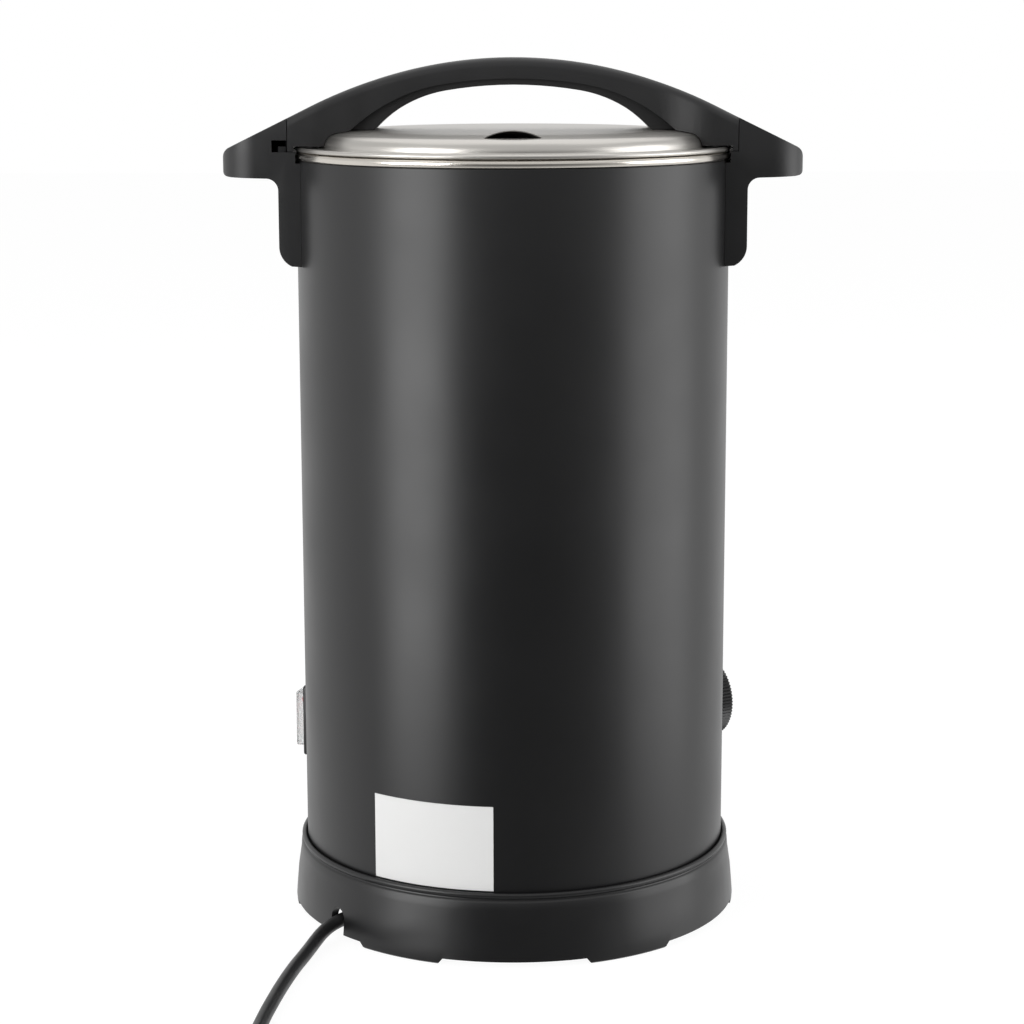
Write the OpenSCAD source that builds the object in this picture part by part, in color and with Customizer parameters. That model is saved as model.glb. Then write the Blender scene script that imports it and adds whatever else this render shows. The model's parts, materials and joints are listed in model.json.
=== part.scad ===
// Electric wax melter: a tall double-walled pot with a ball-valve tap, a lid that turns
// under two side grips, a plastic base with the controls, and a mains lead.
// Millimetres. +Z is up, the pot's axis is Z, the tap is at the front (-Y), and the
// base's feet stand on z = 0.

/* [Body] */
// Outer diameter of the steel shell
shell_d = 184; // [170:1:200]
// Sheet thickness of the shell
shell_t = 0.8; // [0.6:0.1:1.2]
// Height of the shell's top edge above the table
rim_z = 326.3; // [300:0.1:350]
// Gap between the shell's outside and the pot's inside
wall_gap = 8; // [7:0.5:16]
// Sheet thickness of the pot
pot_t = 0.8; // [0.6:0.1:1.2]
// Height of the pot's floor, inside
pot_floor_z = 98; // [98:1:110]
// Thickness of the rolled rim of the pot
rim_bead_d = 3.4; // [2.8:0.1:4]

/* [Lid] */
// Height of the lid's top above the shell's top edge
lid_rise = 12.3; // [11:0.1:16]
// Width of the lid's flat edge outside its raised part
lid_edge_w = 10; // [8:0.5:12]
// Rounding of the lid's shoulder
shoulder_r = 6.5; // [4:0.5:7]
// Sheet thickness of the lid
lid_t = 0.8; // [0.6:0.1:1]
// Thickness of the lid's rolled edge
lid_bead_d = 1.8; // [1.6:0.1:2.2]
// Width of the vent louver
louver_w = 24; // [16:1:30]
// Height of the vent louver
louver_h = 3.3; // [2:0.1:4]

/* [Handle and grips] */
// Height of the handle's arch above the lid
arch_h = 29.8; // [24:0.1:40]
// Radius of the arch's top line
arch_r = 190; // [170:1:260]
// Thickness of the arch in its middle
arch_t = 11.1; // [10:0.1:14]
// Full width of the handle's ends and of the grips
grip_w = 50; // [40:1:56]
// Full width of the handle in its middle
waist_w = 34; // [28:1:40]
// Distance from the shell to the round seam between handle and grips
seam_out = 5; // [4.5:0.1:7]
// Distance from the shell to a grip's tip
grip_out = 30.2; // [26:0.1:38]
// Height of a grip from its foot to its seam's top
grip_h = 60.5; // [52:0.5:70]

/* [Base] */
// Height of the base's upper lip
base_h = 31; // [28:0.5:36]
// Distance from the shell to the skirt's top edge
skirt_top_out = 2.7; // [2.4:0.1:6]
// Distance from the shell to the skirt's bottom edge
skirt_bottom_out = 5.3; // [4.4:0.1:9]
// Height of the feet under the skirt
foot_h = 2.5; // [1.5:0.1:5]
// Number of feet
foot_count = 6; // [3:1:8]
// Width of a foot in degrees
foot_span = 23; // [10:1:28]
// Width of the cord's notch
notch_w = 9; // [8:0.5:14]
// Height of the cord's notch
notch_h = 13.4; // [12:0.1:14]

/* [Controls] */
// Height of knob, switch and lamp
control_z = 75; // [70:1:75]
// Knob diameter
knob_d = 36; // [28:1:40]
// Knob height
knob_h = 13.4; // [10:0.1:18]
// Width of the switch frame
frame_w = 26; // [25:1:30]
// Height of the switch frame
frame_h = 32; // [30:1:36]
// Diameter of the pilot lamp's lens
lamp_d = 10; // [8:1:14]

/* [Tap] */
// Height of the tap above the pot's floor
tap_rise = 24; // [23:1:34]
// Bore of the tap
tap_bore_d = 12; // [8:1:13]
// Length of the lever from its pivot
lever_l = 62; // [45:1:80]

/* [Label] */
// Width of the blank rating plate
label_w = 54; // [30:1:70]
// Height of the blank rating plate
label_h = 36; // [20:1:38]

/* [Lead] */
// Diameter of the mains lead
cord_d = 5.8; // [5:0.1:7]
// Mean diameter of the coil
coil_d = 64; // [58:1:70]

/* [Hidden] */

eps = 0.01;
fit_gap = 0.1;       // a screw or collar in its hole
run_gap = 0.3;       // between pieces that move past each other
$fn = 96;

// Body
shell_r = shell_d / 2;
shell_in_r = shell_r - shell_t;
shell_foot_z = base_h - 7;
pot_r = shell_r - wall_gap;
pot_out_r = pot_r + pot_t;
pot_under_z = pot_floor_z - pot_t;
bead_r = rim_bead_d / 2;
bead_ring_r = shell_r - 0.8;
bead_z = rim_z + bead_r;
rim_top_z = rim_z + rim_bead_d;
flare_z = rim_z - 1.5;

// Lid
lid_top_z = rim_z + lid_rise;
dome_r = shell_r - lid_edge_w;
gasket_t = 0.6;
gasket_z = rim_top_z + run_gap - 0.1;
flange_z = gasket_z + gasket_t;
lid_bead_r = lid_bead_d / 2;
lid_bead_z = flange_z + lid_t / 2;
lid_edge_r = shell_r - 0.4;
louver_y = dome_r - 12;

// Handle and grips
arch_top_z = lid_top_z + arch_h;
arch_end = asin((shell_r + seam_out - 12.5) / arch_r); // the top line runs on straight from here
arch_slope = tan(arch_end);
palm_z = arch_top_z - arch_t;
palm_bend_x = 28;    // the palm line is flatter inside this X and tighter outside it
palm_r = 170;
palm_end_r = 55;
cover_t = 7.5;
cover_w = 30;
cover_lip = 1.5;     // step that eases the cover's lower edges
hook_z = flange_z - 0.2;
hook_in_r = shell_r + 2.8;
rim_room_z = lid_top_z - 6.2;
ledge_z = hook_z - run_gap;
seam_r = shell_r + seam_out;
seam_in_r = seam_r + run_gap;
seam_top_z = arch_top_z - arch_r * (1 - cos(arch_end)) - 12.5 * arch_slope;
grip_reach = shell_r + grip_out;
grip_foot_z = seam_top_z - grip_h;
grip_under_z = lid_top_z - 19.5;
bracket_r = shell_r + 5.9;
tip_h = 13;
slot_h = 4.9;
slot_depth = 6.1;
handle_under_r = 190; // the handle's own lower line, above the cover's
handle_under_end_r = 75;
handle_under_rise = 2.6;
handle_screw_x = seam_r - 26;
flare_x = 60;         // the handle widens towards its ends from this X
flare_l = 24;
handle_screw_y = 12;
handle_screw_l = 9;
grip_screw_zs = [grip_foot_z + 12, grip_foot_z + 30];
grip_screw_l = 5;
m4_r = 2;

// Base
skirt_t = 2.7;
notch_angle = 39;
plate_z = 16;
plate_t = 1;
plate_r = shell_r - 4;
boss_r = 4.5;
boss_ring_r = shell_r - 7;
boss_angles = [20, 140, 260];
m3_r = 1.5;

// Controls
knob_angle = 212;
switch_angle = -16;
lamp_angle = 240;
frame_t = 3;
window_h = 22.4;
window_w = 15.4;
rocker_w = 14.6;
rocker_pivot = -3.2;
body_top = -1.7;     // front of the switch body behind the frame's face
axle_r = 1.1;
axle_l = rocker_w + 2.6;
cutout_h = frame_h - 3.4;
cutout_w = frame_w - 3.6;
cap_h = 24.6;
cap_w = 18.6;
cap_rise = 4.5;
cap_t = 0.6;
neck_r = 4.8;
spindle_r = 3;
knob_stand = 2;
dial_r = knob_d / 2 + 7;
knob_start_r = shell_r + knob_stand;
spindle_start_r = shell_in_r - 17;
spindle_end_r = knob_start_r + knob_h - 4;
thermostat_front_r = shell_in_r - 3;
thermostat_depth = 20;

// Heater
heater_r = pot_r - 14;
heater_t = 5;
element_r = heater_r - 20;
element_tube_r = 3.3;
heater_z = pot_under_z - heater_t;
clamp_t = 3;
clamp_w = 16;
clamp_z = heater_z - 2 * element_tube_r - clamp_t;

// Tap
tap_z = pot_floor_z + tap_rise;
bore_r = tap_bore_d / 2;
tail_r = 10;
barrel_r = 12.5;
ball_r = bore_r + 3;
ball_y = -(shell_r + 21);
seat_l = 4.5;
chamber_r = ball_r + 0.4;
collar_y = -(shell_r + 2.5);
collar_t = 5;
barrel_end_y = ball_y - 18;
spout_drop = 40;
spout_r = bore_r + 2.5;
spout_flange_t = 3;
spout_y = barrel_end_y - spout_flange_t - spout_r - 0.5;
neck_top_z = tap_z + 20;
tap_neck_r = 7.5;
stem_r = 3.9;
lever_z = neck_top_z + 6;
lever_t = 3;
lever_hub_r = 9;
lever_w = 12;

// Lead: points of its route on the table, chosen by eye
cord_r = cord_d / 2;
elbow_in_r = shell_r - 30;
elbow_out_r = shell_r;
elbow_z = 8;
lead_route = [
  [elbow_out_r * cos(notch_angle), elbow_out_r * sin(notch_angle), elbow_z],
  [74.8, 60.5, 7.9], [78.2, 63.9, 7.3], [81.0, 68.5, 6.2], [83.2, 74.5, 4.8],
  [85.2, 81.5, 3.6], [87.2, 90, 3.0], [90.2, 104, 2.9], [93.2, 122, 2.9],
  [95.6, 140, 2.9], [97.5, 157, 2.9], [98.9, 174, 2.9], [99.7, 190, 3.0],
  [100.1, 206, 3.3], [100.3, 222, 3.5], [100.3, 238, 3.6]];
coil_x = 62.5;
coil_y = 240;
coil_r = coil_d / 2;
coil_lift = 0.7;
coil_columns = 3;
coil_layers = 2;
tail_route = [
  [62.5, 277.8, 9.4], [54, 277.9, 10.2], [45, 279.4, 12.2], [36, 282.0, 15.2],
  [28, 284.3, 17.6], [20, 285.4, 18.5], [12, 285.5, 18.5]];
plug_r = 18.5;
plug_y = 285.5;
plug_x = 12;
plug_sleeve_l = 22;
plug_neck_l = 16;
plug_body_l = 14;
pin_r = 2.4;
pin_l = 19;
pin_pitch = 19;

black = "#2b2b2c";
shell_gray = "#3a3a3b";
steel = "#b9bab8";

// ---------- helpers ----------

// Places children on the body's side: X points out, Z is up
module on_side(angle, r, z) {
  rotate([0, 0, angle]) translate([r, 0, z]) children();
}

// Straight rod between two points
module rod(a, b, r) {
  d = b - a;
  length = norm(d);
  translate(a)
    rotate([0, acos(d[2] / length), atan2(d[1], d[0])])
      cylinder(r = r, h = length, $fn = 32);
}

// Screw with a pan head, pointing up from its head's top face at z = 0
module screw(r, length, head_r, head_h) {
  translate([0, 0, -head_h]) difference() {
    cylinder(r = head_r, h = head_h, $fn = 48);
    for (turn = [0, 90])
      rotate([0, 0, turn])
        translate([-head_r * 0.6, -head_h * 0.15, -eps])
          cube([head_r * 1.2, head_h * 0.3, head_h * 0.5]);
  }
  cylinder(r = r, h = length, $fn = 48);
}

function arc(x, z, r, from, to, steps) =
  [for (i = [0:steps]) let (a = from + (to - from) * i / steps)
    [x + r * cos(a), z + r * sin(a)]];

// Tube swept along a list of points, with flat ends square to its run
function unit(v) = v / norm(v);
function heading(p, i) =
  unit(p[min(i + 1, len(p) - 1)] - p[max(i - 1, 0)]);
function ring_at(p, i, r, sides) =
  let (t = heading(p, i), side = unit(cross([0, 0, 1], t)), up = cross(t, side))
    [for (k = [0:sides - 1]) let (a = 360 * k / sides)
      p[i] + r * (cos(a) * side + sin(a) * up)];

module tube(p, r, sides = 10) {
  n = len(p);
  rings = [for (i = [0:n - 1]) each ring_at(p, i, r, sides)];
  walls = [for (i = [0:n - 2], k = [0:sides - 1]) let (q = (k + 1) % sides)
    [i * sides + k, i * sides + q, (i + 1) * sides + q, (i + 1) * sides + k]];
  polyhedron(points = rings, faces = concat([for (w = walls) [w[3], w[2], w[1], w[0]]],
    [[for (k = [0:sides - 1]) k]], [[for (k = [sides - 1:-1:0]) (n - 1) * sides + k]]));
}

// ---------- body ----------

module switch_cutout() {
  on_side(switch_angle, shell_r - 10, control_z)
    translate([0, -cutout_w / 2, -cutout_h / 2]) cube([20, cutout_w, cutout_h]);
}

module side_hole(angle, z, r, from, length) {
  on_side(angle, from, z) rotate([0, 90, 0]) cylinder(r = r, h = length);
}

module outer_shell() {
  color(shell_gray) difference() {
    translate([0, 0, shell_foot_z]) cylinder(r = shell_r, h = rim_z - shell_foot_z);
    translate([0, 0, shell_foot_z - 1])
      cylinder(r = shell_in_r, h = rim_z - shell_foot_z + 2);
    switch_cutout();
    side_hole(knob_angle, control_z, neck_r + fit_gap, shell_in_r - 5, 12);
    side_hole(lamp_angle, control_z, lamp_d / 2 - 1, shell_in_r - 5, 12);
    side_hole(-90, tap_z, tail_r + run_gap, shell_in_r - 5, 12);
    for (side = [0, 180], z = grip_screw_zs)
      side_hole(side, z, m4_r + fit_gap, shell_in_r - 5, 12);
  }
}

// Wall of the pot: its foot is level with the floor's underside and its top edge is rolled
module inner_pot() {
  color(steel) difference() {
    union() {
      rotate_extrude()
        polygon([[pot_r, pot_under_z], [pot_r, flare_z], [bead_ring_r, rim_top_z - eps],
          [bead_ring_r, rim_top_z - pot_t], [pot_out_r, flare_z - pot_t / 2],
          [pot_out_r, pot_under_z]]);
      rotate_extrude() translate([bead_ring_r, bead_z]) circle(r = bead_r, $fn = 24);
    }
    side_hole(-90, tap_z, tail_r + run_gap, pot_r - 8, 14);
  }
}

// Floor that is seam-welded inside the wall's foot
module pot_floor() {
  color(steel) translate([0, 0, pot_under_z]) cylinder(r = pot_r - 0.02, h = pot_t);
}

module rating_plate() {
  plate_angle = label_w / shell_r * 180 / PI;
  color("white") rotate([0, 0, 51]) rotate_extrude(angle = plate_angle)
    translate([shell_r + 0.02, base_h + 0.4]) square([0.28, label_h]);
}

// ---------- base ----------

module base_ring() {
  top_r = shell_r + skirt_top_out;
  low_r = shell_r + skirt_bottom_out;
  seat_r = shell_r + 0.15;
  color(black) difference() {
    union() {
      rotate_extrude()
        polygon([[shell_r - 3.5, shell_foot_z], [shell_r - 3.5, shell_foot_z - 4],
          [shell_r - 0.5, shell_foot_z - 7], [low_r - skirt_t, foot_h], [low_r, foot_h],
          [top_r, base_h - 3.1], [top_r - 0.8, base_h - 2.9], [top_r - 0.8, base_h - 2.3],
          [top_r - 0.1, base_h - 2.1], [top_r - 0.1, base_h - 1.1],
          [top_r - 0.5, base_h - 0.4], [top_r - 1.3, base_h], [seat_r + 0.4, base_h],
          [seat_r, base_h - 0.4], [seat_r, shell_foot_z]]);
      for (i = [0:foot_count - 1])
        rotate([0, 0, 360 * i / foot_count - foot_span / 2])
          rotate_extrude(angle = foot_span)
            polygon([[low_r - skirt_t + 0.4, 0], [low_r - 0.1, 0], [low_r - 0.2, foot_h + 1],
              [low_r - skirt_t + 0.6, foot_h + 1]]);
      for (a = boss_angles) on_side(a, boss_ring_r, plate_z + plate_t)
        cylinder(r = boss_r, h = shell_foot_z - plate_z - plate_t - 0.5, $fn = 48);
    }
    on_side(notch_angle, low_r - 12, notch_h - notch_w / 2) rotate([90, 0, 90])
      linear_extrude(height = 20) polygon(concat(arc(0, 0, notch_w / 2, 0, 180, 10),
        [[-notch_w / 2, -notch_h], [notch_w / 2, -notch_h]]));
    for (a = boss_angles) on_side(a, boss_ring_r, plate_z)
      cylinder(r = m3_r + fit_gap, h = 7, $fn = 48);
  }
}

module bottom_plate() {
  color(steel) difference() {
    translate([0, 0, plate_z]) cylinder(r = plate_r, h = plate_t);
    for (a = boss_angles) on_side(a, boss_ring_r, plate_z - 1)
      cylinder(r = m3_r + 2 * fit_gap, h = 4, $fn = 48);
    on_side(notch_angle, elbow_in_r, plate_z - 1) cylinder(r = 5.1, h = 4, $fn = 48);
    for (a = [0:30:330], r = [28, 42]) on_side(a, r, plate_z - 1)
      translate([-4, -1.25, 0]) cube([8, 2.5, 4]);
  }
}

module bottom_screws() {
  color(steel) for (a = boss_angles) on_side(a, boss_ring_r, plate_z) screw(m3_r, 6.5, 3, 1.8);
}

// ---------- side grips ----------

// Outline of a grip seen from the side: X is the distance from the pot's axis
module grip_outline() {
  tip_z = grip_under_z + 0.8;
  polygon(concat(
    [[shell_r - 6, grip_foot_z + 0.4]],
    arc(bracket_r - 9, grip_foot_z + 9, 9, -65, 0, 6),
    arc(bracket_r + 5, grip_under_z - 5, 5, 180, 93, 5),
    [[grip_reach - 4, tip_z - 0.4]],
    arc(grip_reach - 2.6, tip_z + 2.4, 2.6, -80, 0, 4),
    arc(grip_reach - 6, tip_z + tip_h - 6.6, 6, 0, 64, 5),
    [[seam_r - 3, seam_top_z + 3 * arch_slope], [shell_r - 6, seam_top_z + 3 * arch_slope]]));
}

module grip_plan() {
  corner_r = 15;
  half = grip_w / 2;
  union() {
    translate([shell_r - 10, -half]) square([grip_reach - corner_r - shell_r + 10, grip_w]);
    translate([shell_r - 10, -half + corner_r])
      square([grip_reach - shell_r + 10, grip_w - 2 * corner_r]);
    for (s = [-1, 1])
      translate([grip_reach - corner_r, s * (half - corner_r)]) circle(r = corner_r);
  }
}

module ring_cut(r, low, high) {
  translate([0, 0, low]) cylinder(r = r, h = high - low, $fn = 180);
}

module grip() {
  color(black) difference() {
    intersection() {
      rotate([90, 0, 0]) translate([0, 0, -grip_w / 2 - 1])
        linear_extrude(height = grip_w + 2) grip_outline();
      translate([0, 0, grip_foot_z - 5]) linear_extrude(height = grip_h + 12) grip_plan();
    }
    ring_cut(shell_r + 0.05, grip_foot_z - 10, rim_z - 0.8);
    ring_cut(shell_r + 2, rim_z - 0.8 - eps, ledge_z);
    ring_cut(seam_in_r, ledge_z - eps, seam_top_z + 20);
    // catch slot, open at the side that the handle turns towards
    rotate([0, 0, -8]) rotate_extrude(angle = 30)
      translate([seam_in_r - 1, ledge_z]) square([slot_depth + 1, slot_h]);
    for (z = grip_screw_zs)
      side_hole(0, z, m4_r - fit_gap, shell_in_r - 1, grip_screw_l + 1.4);
  }
  // stop rib on the slot's floor
  color(black) rotate([0, 0, 4]) rotate_extrude(angle = 10)
    translate([seam_in_r, ledge_z - eps]) square([3.2, 2.3]);
}

module grip_left() { grip(); }
module grip_right() { rotate([0, 0, 180]) grip(); }

module grip_screw(i) {
  color(steel) on_side(i < 2 ? 0 : 180, shell_in_r - 0.1, grip_screw_zs[i % 2])
    rotate([0, 90, 0]) screw(m4_r - 2 * fit_gap, grip_screw_l, 3.6, 2);
}

// ---------- lid ----------

module lid_plate() {
  top = arc(dome_r - shoulder_r, lid_top_z - shoulder_r, shoulder_r, 90, 0, 8);
  under = arc(dome_r - shoulder_r, lid_top_z - shoulder_r, shoulder_r - lid_t, 0, 90, 8);
  color(steel) difference() {
    union() {
      rotate_extrude($fn = 180)
        polygon(concat([[0, lid_top_z]], top,
          [[dome_r, flange_z + lid_t], [lid_edge_r, flange_z + lid_t],
           [lid_edge_r, flange_z], [dome_r - lid_t, flange_z]],
          under, [[0, lid_top_z - lid_t]]));
      rotate_extrude($fn = 180)
        translate([lid_edge_r, lid_bead_z]) circle(r = lid_bead_r, $fn = 20);
      louver(0);
    }
    louver(lid_t);
    for (sx = [-1, 1], sy = [-1, 1])
      translate([sx * handle_screw_x, sy * handle_screw_y, lid_top_z - 5])
        cylinder(r = m4_r + fit_gap, h = 10, $fn = 48);
  }
}

// Half of a low round cap, pressed up and open towards the back; inset 0 is its outside
module louver(inset) {
  half = louver_w / 2;
  cap_r = (half * half + louver_h * louver_h) / (2 * louver_h);
  low = inset == 0 ? lid_top_z - eps : lid_top_z - lid_t - 1;
  translate([0, louver_y, 0]) intersection() {
    translate([0, 0, lid_top_z + louver_h - cap_r]) sphere(r = cap_r - inset, $fn = 96);
    translate([-half, -half, low]) cube([2 * half, half + (inset == 0 ? 0 : 1), 20]);
  }
}

module lid_gasket() {
  lip_in_r = pot_r - 3.5;
  color("#d8d4cc") rotate_extrude()
    polygon([[lip_in_r, rim_z - 4], [pot_r - 0.7, rim_z - 4], [pot_r - 0.5, gasket_z - 0.6],
      [pot_r + 0.6, gasket_z], [lid_edge_r - 1.3, gasket_z], [lid_edge_r - 1.3, flange_z],
      [lip_in_r, flange_z]]);
}

// Room that the handle leaves for the lid and the lid's rolled edge
module handle_room() {
  rotate_extrude($fn = 180)
    polygon(concat([[0, rim_z], [0, lid_top_z]],
      arc(dome_r - shoulder_r, lid_top_z - shoulder_r, shoulder_r + run_gap, 90, 0, 8),
      [[dome_r + run_gap, rim_room_z], [hook_in_r, rim_room_z], [hook_in_r, rim_z]]));
}

// Line under the arch seen from the front: flatter in its middle, ending at foot_z
function arch_line(top_z, mid_r, end_r, bend_x, foot_z) =
  let (bend = asin(bend_x / mid_r), bend_z = top_z - mid_r * (1 - cos(bend)),
    end_x = bend_x - end_r * sin(bend), end_z = bend_z - end_r * cos(bend),
    right = arc(end_x, end_z, end_r, asin((foot_z - end_z) / end_r), 90 - bend, 14),
    middle = arc(0, top_z - mid_r, mid_r, 90 - bend, 90 + bend, 8))
  concat(right, [for (i = [1:7]) middle[i]],
    [for (i = [len(right) - 1:-1:0]) [-right[i][0], right[i][1]]]);

function palm_line(rise) = arch_line(palm_z + cover_lip + rise, palm_r + rise,
  palm_end_r + rise, palm_bend_x * (palm_r + rise) / palm_r, lid_top_z);

// Half of the handle's width at this distance from its middle
function half_width(x) =
  let (middle = min(1, x / flare_x), end = max(0, min(1, (x - flare_x) / flare_l)))
  waist_w / 2 + 2 * middle * middle
    + (grip_w / 2 - waist_w / 2 - 2) * end * end * (3 - 2 * end);

module handle_plan() {
  xs = concat([0, 15, 30, 45], [for (x = [flare_x:3:flare_x + flare_l]) x], [seam_r + 4]);
  side = [for (x = xs) [x, half_width(x)]];
  n = len(side);
  polygon(concat(side, [for (i = [n - 1:-1:0]) [side[i][0], -side[i][1]]],
    [for (i = [1:n - 1]) -side[i]], [for (i = [n - 1:-1:1]) [-side[i][0], side[i][1]]]));
}

// Outline of the handle seen from the front
module handle_outline() {
  out = seam_r + 3;
  end_z = seam_top_z - 3 * arch_slope;
  under = arch_line(palm_z + handle_under_rise, handle_under_r, handle_under_end_r, palm_bend_x,
    hook_z);
  polygon(concat([[out, hook_z], [out, end_z]],
    arc(0, arch_top_z - arch_r, arch_r, 90 - arch_end, 90 + arch_end, 48),
    [[-out, end_z], [-out, hook_z]], [for (i = [len(under) - 1:-1:0]) under[i]]));
}

module lid_handle() {
  color(black) difference() {
    intersection() {
      rotate([90, 0, 0]) translate([0, 0, -grip_w / 2 - 1])
        linear_extrude(height = grip_w + 2) handle_outline();
      translate([0, 0, hook_z - 1]) cylinder(r = seam_r, h = 60, $fn = 180);
      translate([0, 0, hook_z - 1]) linear_extrude(height = 60) handle_plan();
    }
    handle_room();
    cover_band(-cover_lip - 1, cover_t - cover_lip + fit_gap / 2, cover_w + fit_gap);
    for (sx = [-1, 1], sy = [-1, 1])
      translate([sx * handle_screw_x, sy * handle_screw_y, lid_top_z - 1])
        cylinder(r = m4_r - fit_gap, h = handle_screw_l + 1, $fn = 48);
  }
}

// Band that follows the palm line above the lid, from depth low to depth high
module cover_band(low, high, width) {
  upper = palm_line(high);
  lower = palm_line(low);
  rotate([90, 0, 0]) linear_extrude(height = width, center = true)
    polygon(concat(upper, [for (i = [len(lower) - 1:-1:0]) lower[i]]));
}

module handle_cover() {
  color(black) union() {
    cover_band(-cover_lip, cover_t - cover_lip, cover_w - 2 * cover_lip);
    cover_band(0, cover_t - cover_lip, cover_w);
  }
}

module handle_screw(i) {
  sx = i < 2 ? 1 : -1;
  sy = i % 2 == 0 ? 1 : -1;
  color(steel)
    translate([sx * handle_screw_x, sy * handle_screw_y, lid_top_z - lid_t])
      screw(m4_r - 2 * fit_gap, handle_screw_l, 3.6, 2.2);
}

// ---------- heater ----------

module heater_plate() {
  color("silver") difference() {
    translate([0, 0, heater_z]) cylinder(r = heater_r, h = heater_t);
    translate([0, 0, heater_z - 1]) cylinder(r = 3.4, h = heater_t + 2, $fn = 48);
  }
}

module heater_element() {
  z = heater_z - element_tube_r;
  color("dimgray") {
    rotate([0, 0, 105]) rotate_extrude(angle = 330)
      translate([element_r, z]) circle(r = element_tube_r, $fn = 32);
    for (a = [105, 75]) on_side(a, element_r, z - 14)
      cylinder(r = element_tube_r, h = 14, $fn = 32);
    for (a = [105, 75]) on_side(a, element_r, z)
      sphere(r = element_tube_r, $fn = 32);
    for (a = [105, 75]) on_side(a, element_r, z - 22)
      translate([-0.4, -3, 0]) cube([0.8, 6, 9]);
  }
}

module heater_clamp() {
  reach = element_r + 8;
  color(steel) difference() {
    translate([-reach, -clamp_w / 2, clamp_z]) cube([2 * reach, clamp_w, clamp_t]);
    translate([0, 0, clamp_z - 1]) cylinder(r = 3.1, h = clamp_t + 2, $fn = 48);
  }
}

module clamp_stud() {
  color(steel) {
    translate([0, 0, clamp_z - 8]) cylinder(r = 3, h = pot_under_z - clamp_z + 8, $fn = 48);
    translate([0, 0, clamp_z - 5]) cylinder(r = 5.8, h = 5, $fn = 6);
  }
}

module thermal_cutout() {
  z = clamp_z - 8;
  color("#c9b89a") translate([30, 0, z]) cylinder(r = 8, h = 8, $fn = 48);
  color("silver") for (s = [-1, 1])
    translate([30 + s * 4 - 0.4, -3, z - 8]) cube([0.8, 6, 9]);
}

// ---------- controls ----------

module thermostat() {
  back_r = thermostat_front_r - thermostat_depth;
  color("#d9d2c2") difference() {
    on_side(knob_angle, back_r, control_z) {
      translate([0, -16, -17]) cube([thermostat_depth, 32, 34]);
      rotate([0, 90, 0]) cylinder(r = neck_r, h = shell_r + 1.2 - back_r);
    }
    side_hole(knob_angle, control_z, spindle_r + 0.25, spindle_start_r, 40);
  }
}

module thermostat_bulb() {
  bulb_y = heater_r + 6;
  bulb_z = pot_under_z - 3;
  back_r = thermostat_front_r - thermostat_depth;
  out = [cos(knob_angle), sin(knob_angle), 0];
  up = [0, 0, control_z + 8];
  end = [-32, bulb_y, bulb_z];
  points = [back_r * out + up, (back_r - 4) * out + up, [4 - heater_r, -10, control_z + 8],
    [4 - heater_r, 30, bulb_z - 3], end];
  color("#b87333") {
    for (i = [0:3]) rod(points[i], points[i + 1], 0.9);
    for (i = [1:3]) translate(points[i]) sphere(r = 1.1, $fn = 24);
    translate(end) rotate([0, 90, 0]) cylinder(r = 3, h = 62, $fn = 48);
  }
}

module knob_spindle() {
  start = spindle_start_r + 0.4;
  color(steel) on_side(knob_angle, start, control_z) rotate([0, 90, 0])
    cylinder(r = spindle_r, h = spindle_end_r - 0.2 - start, $fn = 48);
}

module knob() {
  rib_count = 72;
  knob_r = knob_d / 2;
  color(black) on_side(knob_angle, knob_start_r, control_z) rotate([0, 90, 0]) difference() {
    union() {
      cylinder(r = knob_r + 1, h = 2);
      cylinder(r = knob_r - 0.5, h = knob_h);
      for (i = [0:rib_count - 1])
        rotate([0, 0, 360 * i / rib_count])
          translate([knob_r - 0.9, -0.4, 1]) cube([0.9, 0.8, knob_h - 2]);
    }
    translate([0, 0, -1]) cylinder(r = neck_r + 1, h = 3);
    translate([0, 0, -1])
      cylinder(r = spindle_r + 0.02, h = spindle_end_r - knob_start_r + 1, $fn = 48);
    translate([-knob_r, -0.7, knob_h - 0.5]) cube([knob_r * 0.6, 1.4, 1]);
  }
}

module dial_plate() {
  color("#e8e8e8") difference() {
    intersection() {
      ring_cut(shell_r + 0.3, control_z - dial_r - 1, control_z + dial_r + 1);
      side_hole(knob_angle, control_z, dial_r, shell_r - 8, 12);
    }
    ring_cut(shell_r + 0.02, control_z - dial_r - 2, control_z + dial_r + 2);
    side_hole(knob_angle, control_z, neck_r + 1, shell_r - 9, 14);
  }
}

module lamp_lens() {
  color("#d6401f") on_side(lamp_angle, shell_r + 1, control_z) rotate([0, 90, 0]) union() {
    cylinder(r = lamp_d / 2 - 0.8, h = 1.5, $fn = 48);
    translate([0, 0, 1.5]) intersection() {
      translate([0, 0, -2]) sphere(r = lamp_d / 2 - 0.3, $fn = 64);
      cylinder(r = lamp_d / 2, h = 6, $fn = 48);
    }
  }
}

module lamp_body() {
  color(black) on_side(lamp_angle, shell_r, control_z) rotate([0, 90, 0]) difference() {
    union() {
      translate([0, 0, -16]) cylinder(r = lamp_d / 2 - 1 - fit_gap, h = 17, $fn = 48);
      translate([0, 0, 0.1]) cylinder(r = lamp_d / 2 + 1, h = 1.4, $fn = 48);
    }
    translate([0, 0, 1]) cylinder(r = lamp_d / 2 - 0.7, h = 2, $fn = 48);
  }
}

module terminal_block() {
  color("#e9e4d6") difference() {
    translate([-30, -20, plate_z + plate_t]) cube([44, 18, 15]);
    for (x = [-24:10:6]) translate([x, -11, plate_z + plate_t + 8])
      cylinder(r = 3, h = 8, $fn = 32);
  }
}

// Switch pieces: X points out of the frame's face, Y runs round the body, Z is up
module at_switch() {
  on_side(switch_angle, shell_r + frame_t, control_z) children();
}

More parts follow.
